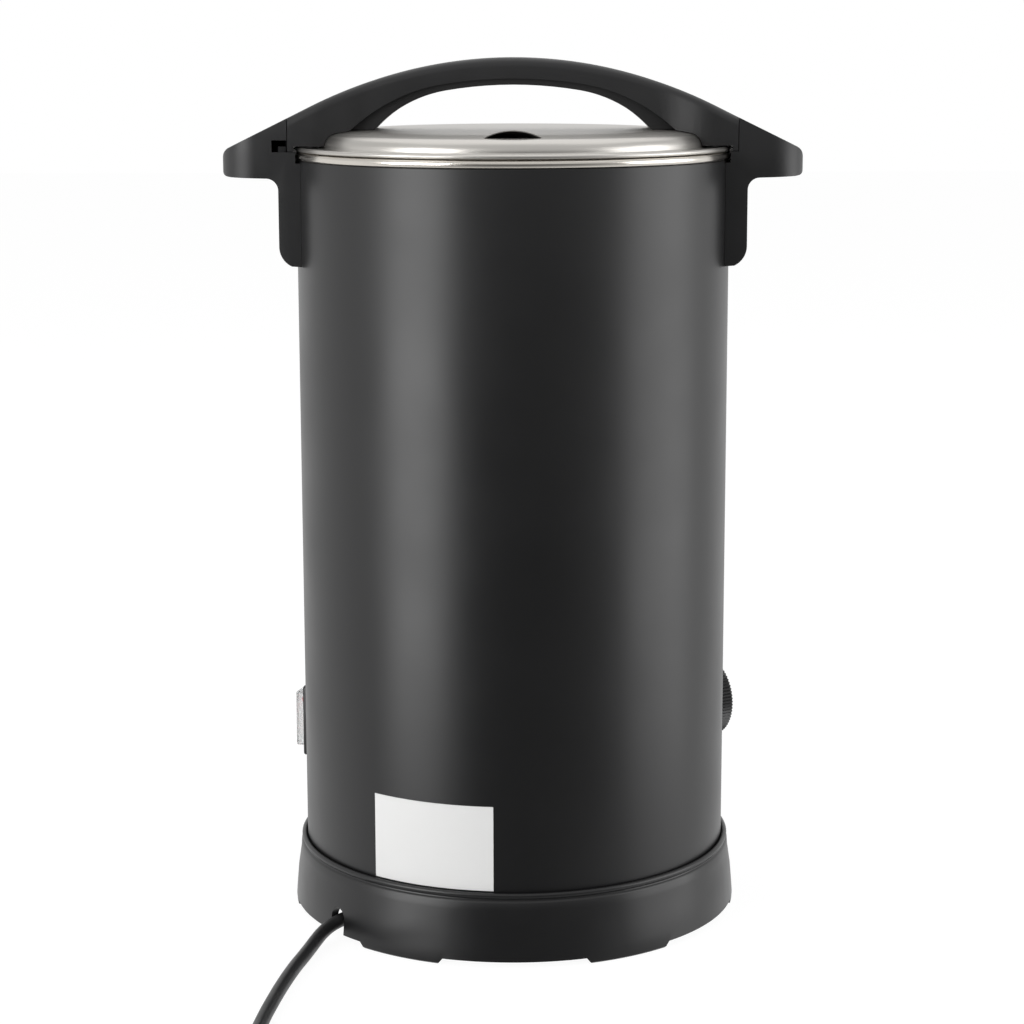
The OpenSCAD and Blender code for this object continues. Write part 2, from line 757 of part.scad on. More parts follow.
module switch_frame() {
  color(black) difference() {
    at_switch() translate([-frame_t - 1.4, -frame_w / 2, -frame_h / 2])
      cube([frame_t + 1.4, frame_w, frame_h]);
    at_switch() translate([-10, -window_w / 2, -window_h / 2])
      cube([20, window_w, window_h]);
    at_switch() translate([body_top - 10 + fit_gap, -cutout_w / 2, -cutout_h / 2])
      cube([10, cutout_w, cutout_h]);
    ring_cut(shell_r + 0.05, control_z - frame_h, control_z + frame_h);
  }
}

module switch_body() {
  depth = 20;
  back = -frame_t - depth;
  color("#1d1d1e") difference() {
    at_switch() union() {
      translate([back, -cutout_w / 2 + fit_gap, -cutout_h / 2 + fit_gap])
        cube([body_top - back, cutout_w - 2 * fit_gap, cutout_h - 2 * fit_gap]);
      for (z = [-7, 7], y = [-5, 5])
        translate([back - 8, y - 3, z - 0.4]) cube([9, 6, 0.8]);
    }
    at_switch() translate([-10.5, -window_w / 2, -window_h / 2]) cube([20, window_w, window_h]);
    rocker_axle(axle_r + 0.2, axle_l / 2 + 0.4);
  }
}

module rocker_axle(r, half) {
  at_switch() translate([rocker_pivot, 0, 0]) rotate([90, 0, 0])
    translate([0, 0, -half]) cylinder(r = r, h = 2 * half, $fn = 48);
}

// The rocker's upper end stands out: the switch is off
module rocker() {
  color("#c21f1f") {
    at_switch() rotate([90, 0, 0]) translate([0, 0, -rocker_w / 2])
      linear_extrude(height = rocker_w)
        polygon([[-7, -7.6], [-4, -9.4], [-0.4, -9.8], [0.1, -1], [0.3, 0.6], [2.6, 8.9],
          [2.2, 9.5], [-4, 9.3], [-7, 7.4], [-8, 3], [-8, -3]]);
    rocker_axle(axle_r, axle_l / 2);
  }
}

module switch_cap() {
  color([0.9, 0.9, 0.9, 0.35]) at_switch() difference() {
    union() {
      translate([0, -cap_w / 2, -cap_h / 2]) cube([cap_rise, cap_w, cap_h]);
      translate([0, -cap_w / 2 - 1, -cap_h / 2 - 1]) cube([0.6, cap_w + 2, cap_h + 2]);
    }
    translate([-1, -cap_w / 2 + cap_t, -cap_h / 2 + cap_t])
      cube([cap_rise - cap_t + 1, cap_w - 2 * cap_t, cap_h - 2 * cap_t]);
  }
}

// ---------- tap ----------

// Rod along the tap's run, between two distances from the pot's axis
module run_rod(r, near, far, sides = 96) {
  translate([0, -near, tap_z]) rotate([90, 0, 0]) cylinder(r = r, h = far - near, $fn = sides);
}

module tap_body() {
  color(steel) difference() {
    union() {
      run_rod(tail_r, pot_r - 11, -collar_y + 1);
      run_rod(17, -collar_y, -collar_y + collar_t, 6);
      run_rod(barrel_r, -collar_y + collar_t - 1, -barrel_end_y);
      translate([0, ball_y, tap_z]) cylinder(r = tap_neck_r, h = neck_top_z - tap_z);
    }
    run_rod(bore_r, pot_r - 12, -barrel_end_y + 1);
    run_rod(chamber_r, -ball_y - ball_r - 0.5, -barrel_end_y + 1);
    translate([0, ball_y, tap_z]) cylinder(r = stem_r + 0.3, h = neck_top_z - tap_z + 1);
  }
}

module tap_seat(near, far) {
  color("white") difference() {
    run_rod(chamber_r - 0.05, near, far);
    run_rod(bore_r, near - 1, far + 1);
    translate([0, ball_y, tap_z]) sphere(r = ball_r + 0.2);
  }
}

module tap_seat_inner() {
  near = -ball_y - ball_r - 0.5;
  tap_seat(near, near + seat_l);
}

module tap_seat_outer() {
  far = -ball_y + ball_r + 0.5;
  tap_seat(far - seat_l, far);
}

module tap_ball() {
  color("silver") difference() {
    translate([0, ball_y, tap_z]) sphere(r = ball_r);
    translate([-ball_r - 1, ball_y, tap_z]) rotate([0, 90, 0])
      cylinder(r = bore_r, h = 2 * ball_r + 2);
    translate([0, ball_y, tap_z + bore_r + 0.8]) cylinder(r = 3.6, h = 10, $fn = 48);
  }
}

module tap_stem() {
  color(steel) {
    translate([0, ball_y, tap_z + bore_r + 0.8])
      cylinder(r = 3.55, h = 3, $fn = 48);
    translate([0, ball_y, tap_z + bore_r + 3])
      cylinder(r = stem_r, h = lever_z + lever_t - tap_z - bore_r - 3, $fn = 48);
    translate([0, ball_y, lever_z + lever_t]) cylinder(r = 3, h = 6.5, $fn = 48);
  }
}

module packing_nut() {
  color(steel) difference() {
    translate([0, ball_y, neck_top_z]) cylinder(r = tap_neck_r + 1.5, h = 5.4, $fn = 6);
    translate([0, ball_y, neck_top_z - 1]) cylinder(r = stem_r + 0.3, h = 8, $fn = 48);
  }
}

module tap_lever() {
  color(steel) difference() {
    union() {
      translate([0, ball_y, lever_z]) cylinder(r = lever_hub_r, h = lever_t, $fn = 64);
      translate([0, ball_y - lever_w / 2, lever_z]) cube([lever_l - 3, lever_w, lever_t]);
    }
    translate([0, ball_y, lever_z - 1]) cylinder(r = stem_r + 0.05, h = lever_t + 2, $fn = 48);
  }
}

module lever_sleeve() {
  start = 22;
  color("#b3261e") difference() {
    translate([start, ball_y, lever_z + lever_t / 2]) rotate([0, 90, 0])
      linear_extrude(height = lever_l - start)
        union() {
          square([6, lever_w + 3], center = true);
          for (s = [-1, 1]) translate([0, s * (lever_w + 3) / 2]) circle(r = 3, $fn = 48);
        }
    translate([start - 1, ball_y - lever_w / 2 - 0.02, lever_z - 0.02])
      cube([lever_l - 3 - start + 1.05, lever_w + 0.04, lever_t + 0.04]);
  }
}

module lever_nut() {
  color(steel) difference() {
    translate([0, ball_y, lever_z + lever_t]) cylinder(r = 6.4, h = 5, $fn = 6);
    translate([0, ball_y, lever_z]) cylinder(r = 3.05, h = 20, $fn = 48);
  }
}

module tap_spout() {
  bend = -spout_y;
  color(steel) difference() {
    union() {
      run_rod(chamber_r - 0.05, -ball_y + ball_r + 0.55, -barrel_end_y + 0.5);
      run_rod(barrel_r + 1.5, -barrel_end_y, -barrel_end_y + spout_flange_t, 6);
      run_rod(spout_r, -barrel_end_y, bend);
      translate([0, spout_y, tap_z]) sphere(r = spout_r);
      translate([0, spout_y, tap_z - spout_drop]) cylinder(r = spout_r, h = spout_drop);
      translate([0, spout_y, tap_z - spout_drop]) cylinder(r = spout_r + 1.2, h = 3);
    }
    run_rod(bore_r, -ball_y + ball_r, bend);
    translate([0, spout_y, tap_z - spout_drop - 1]) cylinder(r = bore_r, h = spout_drop + 1);
    translate([0, spout_y, tap_z]) sphere(r = bore_r);
  }
}

module tap_outer_washer() {
  color("#d8d4cc") difference() {
    run_rod(15, shell_r - 3, -collar_y);
    run_rod(tail_r + 0.05, shell_r - 4, -collar_y + 1);
    translate([0, 0, tap_z - 20]) cylinder(r = shell_r + 0.05, h = 40, $fn = 180);
  }
}

module tap_spacer() {
  color(steel) intersection() {
    difference() {
      run_rod(13, pot_r - 4, shell_r);
      run_rod(tail_r + 0.1, pot_r - 5, shell_r + 1);
      translate([0, 0, tap_z - 20]) cylinder(r = pot_out_r + 0.05, h = 40, $fn = 180);
    }
    translate([0, 0, tap_z - 20]) cylinder(r = shell_in_r - 0.05, h = 40, $fn = 180);
  }
}

module tap_inner_washer() {
  color("#d8d4cc") intersection() {
    difference() {
      run_rod(14.5, pot_r - 3.5, pot_r + 2);
      run_rod(tail_r + 0.05, pot_r - 5, pot_r + 3);
    }
    translate([0, 0, tap_z - 20]) cylinder(r = pot_r - 0.05, h = 40, $fn = 180);
  }
}

module tap_lock_nut() {
  color(steel) difference() {
    run_rod(14.6, pot_r - 8.5, pot_r - 3.5, 6);
    run_rod(tail_r + 0.05, pot_r - 10, pot_r);
  }
}

// ---------- lead ----------

module cord_elbow() {
  color(black) on_side(notch_angle, elbow_in_r, elbow_z) union() {
    cylinder(r = 5, h = plate_z + plate_t + 4 - elbow_z, $fn = 48);
    translate([0, 0, plate_z + plate_t - elbow_z]) cylinder(r = 7.5, h = 3, $fn = 48);
    translate([0, 0, plate_z - elbow_z - 3]) cylinder(r = 7, h = 3, $fn = 48);
    sphere(r = 5, $fn = 48);
    rotate([0, 90, 0]) cylinder(r1 = 5, r2 = 3.6, h = elbow_out_r - elbow_in_r, $fn = 48);
  }
}

module power_cord() {
  color(black) tube(lead_route, cord_r);
}

module cord_coil() {
  width = coil_columns * cord_d;
  color(black) translate([coil_x, coil_y, coil_lift]) rotate_extrude()
    translate([coil_r - width / 2, 0]) square([width, coil_layers * cord_d]);
}

module cord_tail() {
  color(black) tube(tail_route, cord_r);
}

module cord_tie() {
  width = coil_columns * cord_d;
  height = coil_layers * cord_d;
  color("white") translate([coil_x - coil_r - width / 2, coil_y, coil_lift])
    difference() {
      translate([-0.6, -2.5, -0.6]) cube([width + 1.2, 5, height + 1.2]);
      translate([-0.05, -3.5, -0.05]) cube([width + 0.25, 7, height + 0.1]);
    }
}

// Plug pieces: a sleeve for the cord, a neck and a round body
module plug() {
  color(black) translate([plug_x, plug_y, plug_r]) rotate([0, -90, 0]) union() {
    cylinder(r1 = 4, r2 = 6.5, h = plug_sleeve_l, $fn = 48);
    translate([0, 0, plug_sleeve_l]) cylinder(r1 = 9.5, r2 = 13, h = plug_neck_l, $fn = 64);
    translate([0, 0, plug_sleeve_l + plug_neck_l]) cylinder(r = plug_r, h = plug_body_l);
  }
}

module plug_pins() {
  face_x = plug_x - plug_sleeve_l - plug_neck_l - plug_body_l;
  color("silver") translate([face_x, plug_y, plug_r]) rotate([0, -90, 0])
    for (s = [-1, 1]) translate([0, s * pin_pitch / 2, 0])
      cylinder(r = pin_r, h = pin_l, $fn = 48);
}

// ---------- nodes ----------

outer_shell();
inner_pot();
pot_floor();
base_ring();
bottom_plate();
bottom_screws();
rating_plate();
grip_left();
grip_right();
grip_screw(0);  // grip_screw_1
grip_screw(1);  // grip_screw_2
grip_screw(2);  // grip_screw_3
grip_screw(3);  // grip_screw_4
lid_plate();
lid_gasket();
lid_handle();
handle_cover();
handle_screw(0);  // handle_screw_1
handle_screw(1);  // handle_screw_2
handle_screw(2);  // handle_screw_3
handle_screw(3);  // handle_screw_4
heater_plate();
heater_element();
heater_clamp();
clamp_stud();
thermostat();
thermostat_bulb();
knob_spindle();
knob();
dial_plate();
thermal_cutout();
terminal_block();
switch_body();
switch_frame();
rocker();
switch_cap();
lamp_lens();
lamp_body();
tap_body();
tap_spout();
tap_ball();
tap_stem();
tap_seat_inner();
tap_seat_outer();
tap_lever();
lever_sleeve();
lever_nut();
packing_nut();
tap_outer_washer();
tap_spacer();
tap_inner_washer();
tap_lock_nut();
cord_elbow();
power_cord();
cord_coil();
cord_tail();
cord_tie();
plug();
plug_pins();
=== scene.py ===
"""Finished surfaces of an electric wax melter: paint, brushed steel, plastic and its cord."""

import json
import math

import bmesh
import bpy
from bpy.props import FloatProperty, FloatVectorProperty, PointerProperty
from mathutils import Matrix, Vector


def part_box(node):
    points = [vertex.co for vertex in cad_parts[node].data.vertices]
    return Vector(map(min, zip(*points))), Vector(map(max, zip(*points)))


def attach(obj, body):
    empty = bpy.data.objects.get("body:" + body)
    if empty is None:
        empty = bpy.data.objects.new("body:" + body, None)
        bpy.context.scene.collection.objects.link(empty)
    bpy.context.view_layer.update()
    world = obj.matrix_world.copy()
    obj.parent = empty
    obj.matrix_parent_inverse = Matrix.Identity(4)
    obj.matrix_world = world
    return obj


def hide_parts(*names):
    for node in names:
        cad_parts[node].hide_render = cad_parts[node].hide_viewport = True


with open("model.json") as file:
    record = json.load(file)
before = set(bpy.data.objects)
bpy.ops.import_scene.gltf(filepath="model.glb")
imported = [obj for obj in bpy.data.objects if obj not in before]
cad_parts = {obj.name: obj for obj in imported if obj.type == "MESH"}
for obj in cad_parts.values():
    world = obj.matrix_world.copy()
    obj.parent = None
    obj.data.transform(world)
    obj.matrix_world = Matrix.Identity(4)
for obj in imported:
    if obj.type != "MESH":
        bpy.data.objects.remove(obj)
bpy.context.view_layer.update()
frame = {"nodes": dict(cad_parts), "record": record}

bl_info = {
    "name": "Wax Melter",
    "version": (1, 0, 0),
    "blender": (4, 5, 0),
    "location": "View3D > Sidebar > Wax Melter",
    "description": "Builds the finished surfaces of an electric wax melter round its frame",
    "category": "Object",
}

MM = 0.001
TURN = 2 * math.pi
BODIES = frame["record"]["behaviour"]["bodies"]
BODY_OF = {name: body for body, names in BODIES.items() for name in names}
SLOT_OF = {part["node"]: part["material_slot"] for part in frame["record"]["subparts"]}

# Sizes read from the frame, in metres
SHELL_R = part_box("outer_shell")[1].x
SHELL_FOOT_Z, RIM_Z = (corner.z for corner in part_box("outer_shell"))
LID_TOP_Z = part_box("handle_cover")[0].z
COVER_TOP_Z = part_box("handle_cover")[1].z
ARCH_TOP_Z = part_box("lid_handle")[1].z
HOOK_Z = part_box("lid_handle")[0].z
SEAM_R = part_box("lid_handle")[1].x
GRIP_FOOT_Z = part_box("grip_left")[0].z
GRIP_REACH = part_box("grip_left")[1].x
GRIP_W = 2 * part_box("grip_left")[1].y
BASE_TOP_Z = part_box("base_ring")[1].z
SKIRT_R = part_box("base_ring")[1].y
CONTROL_Z = (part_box("switch_frame")[0].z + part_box("switch_frame")[1].z) / 2
TAP_Z = (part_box("tap_outer_washer")[0].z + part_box("tap_outer_washer")[1].z) / 2

# Sizes that no box shows, the same as in the solids
POT_R = SHELL_R - 8 * MM  # inside of the pot
SEAT_R = SHELL_R + 0.05 * MM  # what lies on the shell keeps clear of it by a hair
STRAIGHT_L = 12.5 * MM  # straight part of the handle's top line at each end
BEND_X = 28 * MM  # where the line under the arch grows steeper
SWITCH_HOLE = (14.3 * MM, 11.2 * MM)  # half the height and half the width
FOOT_COUNT = 6

# Where things stand round the body, from +X
KNOB_ANGLE = math.radians(212)
SWITCH_ANGLE = math.radians(-16)
LAMP_ANGLE = math.radians(240)
NOTCH_ANGLE = math.radians(39)
TAP_ANGLE = math.radians(-90)


def linear(code):
    """An sRGB hex colour as Blender's linear red, green, blue and alpha."""
    parts = [int(code[i : i + 2], 16) / 255 for i in (1, 3, 5)]
    return [p / 12.92 if p <= 0.04045 else ((p + 0.055) / 1.055) ** 2.4 for p in parts] + [1.0]


def length(name, description, default):
    """A length property in metres."""
    return FloatProperty(
        name=name, description=description, default=default, unit="LENGTH", precision=4
    )


def colour(name, description, code):
    """A colour property from its sRGB hex code."""
    return FloatVectorProperty(
        name=name, description=description, subtype="COLOR", size=4, default=linear(code)
    )


class MelterSizes(bpy.types.PropertyGroup):
    """The sizes that a user would change"""

    shell_t: length("Shell wall", "Sheet thickness of the painted shell", 0.8 * MM)
    lid_t: length("Lid wall", "Sheet thickness of the lid", 0.8 * MM)
    shoulder_r: length("Lid shoulder", "Rounding of the lid's shoulder", 5.6 * MM)
    lid_edge_w: length("Lid edge", "Flat edge of the lid outside its raised part", 10 * MM)
    lid_bead_r: length("Lid bead", "Radius of the lid's rolled edge", 0.9 * MM)
    louver_w: length("Louver width", "Width of the lid's vent", 24 * MM)
    louver_h: length("Louver height", "Height of the lid's vent", 3.1 * MM)
    louver_t: length("Louver wall", "Thickness of the vent's edge", 0.35 * MM)
    waist_w: length("Handle waist", "Width of the handle in its middle", 34 * MM)
    arch_r: length("Arch radius", "Radius of the handle's top line", 190 * MM)
    moulding_r: length("Moulding edge", "Rounding of the handle's top edges", 3.6 * MM)
    cover_t: length("Palm cover", "Thickness of the strip under the handle", 7.5 * MM)
    slot_h: length("Catch slot", "Height of the slot in a grip", 4.9 * MM)
    notch_w: length("Cord notch", "Width of the notch that the cord leaves through", 9 * MM)
    foot_h: length("Foot height", "Height of the feet under the skirt", 2.5 * MM)
    knob_r: length("Knob radius", "Radius of the thermostat knob", 18 * MM)
    cord_d: length("Cord diameter", "Diameter of the mains cord", 5.8 * MM)


class MelterColours(bpy.types.PropertyGroup):
    """The colours that a user would change"""

    paint: colour("Shell paint", "Satin black stoving enamel", "#131314")
    handle: colour("Handle plastic", "Black moulded handle and grips", "#1c1c1d")
    base: colour("Base plastic", "Black moulded base ring", "#161617")
    steel: colour("Sheet steel", "Brushed stainless sheet", "#c6c3be")
    label: colour("Rating plate", "Blank white film", "#ededec")
    rocker: colour("Rocker", "Red switch rocker", "#b3161a")
    sleeve: colour("Lever sleeve", "Dipped vinyl on the tap's lever", "#9e1f1a")


# ---------- hand work ----------


def deselect():
    """Leaves edit mode and selects nothing."""
    if bpy.context.object and bpy.context.object.mode != "OBJECT":
        bpy.ops.object.mode_set(mode="OBJECT")
    bpy.ops.object.select_all(action="DESELECT")


def hold(piece):
    """Selects the piece alone and makes it active."""
    deselect()
    piece.select_set(True)
    bpy.context.view_layer.objects.active = piece


def edit(piece):
    """Opens the piece in edit mode, on its corners, with all of it selected."""
    hold(piece)
    bpy.ops.object.mode_set(mode="EDIT")
    bpy.ops.mesh.select_mode(type="VERT")
    bpy.ops.mesh.select_all(action="SELECT")


def settle(piece):
    """Puts the piece's place, turn and scale into its mesh."""
    hold(piece)
    bpy.ops.object.transform_apply(location=True, rotation=True, scale=True)
    return piece


def swung(piece, angle):
    """Turns the piece round the body's axis."""
    piece.matrix_world = Matrix.Rotation(angle, 4, "Z")
    return settle(piece)


def added(name):
    """Names the primitive that was just added and settles it."""
    piece = bpy.context.object
    piece.name = name
    return settle(piece)


def pick(piece, kind, wanted):
    """Opens the piece in edit mode with only the wanted corners, edges or faces selected."""
    edit(piece)
    bpy.ops.mesh.select_mode(type=kind)
    bpy.ops.mesh.select_all(action="DESELECT")
    mesh = bmesh.from_edit_mesh(piece.data)
    for part in {"VERT": mesh.verts, "EDGE": mesh.edges, "FACE": mesh.faces}[kind]:
        part.select_set(wanted(part))
    bmesh.update_edit_mesh(piece.data)


def draw(name, points, closed=True):
    """A wire through the points, drawn corner by corner and left open in edit mode."""
    deselect()
    bpy.ops.mesh.primitive_plane_add(size=MM, location=points[0])
    piece = added(name)
    edit(piece)
    bpy.ops.mesh.merge(type="CENTER")
    for start, end in zip(points, points[1:]):
        step = [b - a for a, b in zip(start, end)]
        bpy.ops.mesh.extrude_vertices_move(TRANSFORM_OT_translate={"value": step})
    if closed:
        mesh = bmesh.from_edit_mesh(piece.data)
        mesh.verts.ensure_lookup_table()
        mesh.verts[0].select_set(True)
        bmesh.update_edit_mesh(piece.data)
        bpy.ops.mesh.edge_face_add()
    bpy.ops.mesh.select_all(action="SELECT")
    return piece


def tidy(piece, join=1e-6):
    """Merges doubled corners and turns the faces outwards."""
    edit(piece)
    bpy.ops.mesh.remove_doubles(threshold=join)
    bpy.ops.mesh.normals_make_consistent(inside=False)
    deselect()
    return piece


def pulled(name, points, along):
    """An outline filled and pulled out along a vector."""
    piece = draw(name, points)
    bpy.ops.mesh.edge_face_add()
    bpy.ops.mesh.extrude_region_move(TRANSFORM_OT_translate={"value": along})
    return tidy(piece)


def turned(name, profile, steps=240):
    """A closed profile of (radius, height) corners spun round the Z axis."""
    piece = draw(name, [(r, 0, z) for r, z in profile])
    bpy.ops.mesh.spin(steps=steps, angle=TURN, center=(0, 0, 0), axis=(0, 0, 1))
    return tidy(piece)


def block(name, low, high):
    """A box between two corners."""
    deselect()
    centre = [(a + b) / 2 for a, b in zip(low, high)]
    size = [b - a for a, b in zip(low, high)]
    bpy.ops.mesh.primitive_cube_add(size=1, location=centre, scale=size)
    return added(name)


def plate(name, half, low, high):
    """A block of these half sizes in X and Y, between two heights."""
    return block(name, (-half[0], -half[1], low), (half[0], half[1], high))


def barrel(name, r, low, high, sides=360):
    """An upright cylinder between two heights."""
    deselect()
    bpy.ops.mesh.primitive_cylinder_add(
        vertices=sides, radius=r, depth=high - low, location=(0, 0, (low + high) / 2)
    )
    return added(name)


def modify(piece, kind, **settings):
    """Adds a modifier with these settings and applies it."""
    hold(piece)
    made = piece.modifiers.new(kind.title(), kind)
    for key, value in settings.items():
        setattr(made, key, value)
    bpy.ops.object.modifier_apply(modifier=made.name)
    return piece


def cut(piece, *tools, operation="DIFFERENCE"):
    """Cuts the tools out of the piece, or joins or keeps what they share, and removes them."""
    for tool in tools:
        modify(piece, "BOOLEAN", operation=operation, object=tool, solver="EXACT")
        bpy.data.objects.remove(tool)
    return piece


def clean(piece, angle=0.3):
    """Joins what a cut left split on flat faces and straight edges."""
    edit(piece)
    bpy.ops.mesh.remove_doubles(threshold=2e-6)
    bpy.ops.mesh.dissolve_limited(angle_limit=math.radians(angle))
    deselect()
    return piece


def round_edges(piece, width, segments=3):
    """Rounds every edge sharper than 40 degrees."""
    return modify(
        piece,
        "BEVEL",
        width=width,
        segments=segments,
        limit_method="ANGLE",
        angle_limit=math.radians(40),
    )


def arc(x, z, r, start, end, steps):
    """Points round an arc in degrees, both ends included."""
    turns = [math.radians(start + (end - start) * i / steps) for i in range(steps + 1)]
    return [(x + r * math.cos(a), z + r * math.sin(a)) for a in turns]


def upright(points, y):
    """Outline corners (x, z) stood up at this Y."""
    return [(x, y, z) for x, z in points]


def laid(points, z):
    """Outline corners (x, y) laid flat at this height."""
    return [(x, y, z) for x, y in points]


def around(r, angle, z=0):
    """The place at this radius and angle round the axis."""
    return (r * math.cos(angle), r * math.sin(angle), z)


def on_side(piece, angle, r, z):
    """Turns a piece made along +Z at the origin to point out of the body's side there."""
    out = Matrix.Translation((r, 0, z)) @ Matrix.Rotation(math.pi / 2, 4, "Y")
    piece.matrix_world = Matrix.Rotation(angle, 4, "Z") @ out
    return settle(piece)


def side_bar(name, angle, r, z, start, end, sides=64):
    """A cylinder that runs out of the body's side, from one radius to another."""
    return on_side(barrel(name, r, 0, end - start, sides), angle, start, z)


def coat(piece, material):
    """Gives a piece its finish and smooths its shallow edges."""
    hold(piece)
    bpy.ops.object.shade_smooth_by_angle(angle=math.radians(30))
    piece.data.materials.clear()
    piece.data.materials.append(material)


def trim(piece, name, material):
    """Coats a small piece that rides with a node and stands for none."""
    coat(piece, material)
    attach(piece, BODY_OF[name])


def finish(piece, name, material):
    """Coats a piece that stands for a node and lets it ride where the node rides."""
    trim(piece, name, material)
    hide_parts(name)


# ---------- materials ----------


def node(tree, kind, inputs=None, **settings):
    """Adds a node with its settings, and sets or links its inputs."""
    made = tree.nodes.new(kind)
    for key, value in settings.items():
        setattr(made, key, value)
    for key, value in (inputs or {}).items():
        if isinstance(value, bpy.types.NodeSocket):
            tree.links.new(value, made.inputs[key])
        else:
            made.inputs[key].default_value = value
    return made


def surface(name, values):
    """A new material with its shader set, and its tree and shader."""
    material = bpy.data.materials.new(name)
    material.use_nodes = True
    shader = material.node_tree.nodes["Principled BSDF"]
    for key, value in values.items():
        shader.inputs[key].default_value = value
    return material, material.node_tree, shader


def per_metre(size_mm):
    """The noise scale whose features are about this many millimetres wide."""
    return 1 / (size_mm * MM)


def grain(tree, shader, size_mm, strength, depth_mm=0.05, place=None):
    """Bump from noise of this grain size, on Object coordinates or a place of its own."""
    if place is None:
        place = node(tree, "ShaderNodeTexCoord").outputs["Object"]
    values = {"Vector": place, "Scale": per_metre(size_mm), "Detail": 2.0}
    noise = node(tree, "ShaderNodeTexNoise", values)
    values = {"Height": noise.outputs["Fac"], "Strength": strength, "Distance": depth_mm * MM}
    bump = node(tree, "ShaderNodeBump", values)
    tree.links.new(bump.outputs["Normal"], shader.inputs["Normal"])


def gloss(tree, shader, low, high, size_mm, detail=3.0, place=None):
    """Lets noise of this size move the roughness between two values."""
    if place is None:
        place = node(tree, "ShaderNodeTexCoord").outputs["Object"]
    values = {"Vector": place, "Scale": per_metre(size_mm), "Detail": detail}
    noise = node(tree, "ShaderNodeTexNoise", values)
    # Noise is mostly in its middle part, so that is spread over the whole range
    values = {"Value": noise.outputs["Fac"], "From Min": 0.3, "From Max": 0.7}
    span = node(tree, "ShaderNodeMapRange", {**values, "To Min": low, "To Max": high})
    tree.links.new(span.outputs["Result"], shader.inputs["Roughness"])


def stoving_enamel(colours):
    """Satin enamel sprayed and baked on steel: a soft broad highlight over a faint orange peel."""
    values = {"Base Color": colours.paint, "IOR": 1.5}
    material, tree, shader = surface("stoving_enamel", values)
    grain(tree, shader, size_mm=1.6, strength=0.06, depth_mm=0.03)
    gloss(tree, shader, low=0.33, high=0.39, size_mm=45)
    return material


def handle_phenolic(colours):
    """Black heat-proof moulding, spark-eroded mould: an even fine grain that scatters the light."""
    values = {"Base Color": colours.handle, "IOR": 1.52}
    material, tree, shader = surface("handle_phenolic", values)
    grain(tree, shader, size_mm=0.9, strength=0.25, depth_mm=0.06)
    gloss(tree, shader, low=0.40, high=0.50, size_mm=18)
    return material


def base_polypropylene(colours):
    """Black polypropylene moulding: smoother than the handle, with a waxy sheen."""
    values = {"Base Color": colours.base, "IOR": 1.49}
    material, tree, shader = surface("base_polypropylene", values)
    grain(tree, shader, size_mm=1.1, strength=0.12, depth_mm=0.04)
    gloss(tree, shader, low=0.30, high=0.38, size_mm=25)
    return material


def spun_stainless(colours):
    """Stainless sheet spun and satined on a lathe: fine rings round the axis.

    The real rings are finer; these are as coarse as they need to be to show.
    """
    ring_mm = 0.7
    values = {"Base Color": colours.steel, "Metallic": 1.0}
    material, tree, shader = surface("spun_stainless", values)
    place = node(tree, "ShaderNodeTexCoord").outputs["Object"]
    parts = node(tree, "ShaderNodeSeparateXYZ", {"Vector": place}).outputs
    flat = node(tree, "ShaderNodeCombineXYZ", {"X": parts["X"], "Y": parts["Y"]})
    radius = node(tree, "ShaderNodeVectorMath", {0: flat.outputs["Vector"]}, operation="LENGTH")
    values = {"X": radius.outputs["Value"], "Z": parts["Z"]}
    rings = node(tree, "ShaderNodeCombineXYZ", values).outputs["Vector"]
    grain(tree, shader, ring_mm, strength=0.10, depth_mm=0.02, place=rings)
    gloss(tree, shader, low=0.30, high=0.40, size_mm=ring_mm, detail=2.0, place=rings)
    return material


def plain(name, tint, roughness, metallic, grain_mm, strength, clear=0.0):
    """A one-colour finish with its own grain and a little unevenness in its gloss."""
    unevenness, patch_mm = 0.12, 12
    base = linear(tint) if isinstance(tint, str) else tint
    values = {"Base Color": base, "Metallic": metallic, "Transmission Weight": clear}
    material, tree, shader = surface(name, values)
    grain(tree, shader, grain_mm, strength)
    low, high = roughness * (1 - unevenness), roughness * (1 + unevenness)
    gloss(tree, shader, low, high, patch_mm)
    return material


def clear_pvc():
    """Soft clear PVC, dip-moulded: light passes it nearly straight, with a slight cloud.

    Its IOR is lower than PVC's 1.53, because a wall this thin hardly bends what is behind it.
    """
    values = {"Base Color": linear("#f4f6f6"), "IOR": 1.12, "Transmission Weight": 0.86}
    material, tree, shader = surface("clear_pvc", values)
    gloss(tree, shader, low=0.12, high=0.2, size_mm=6)
    return material


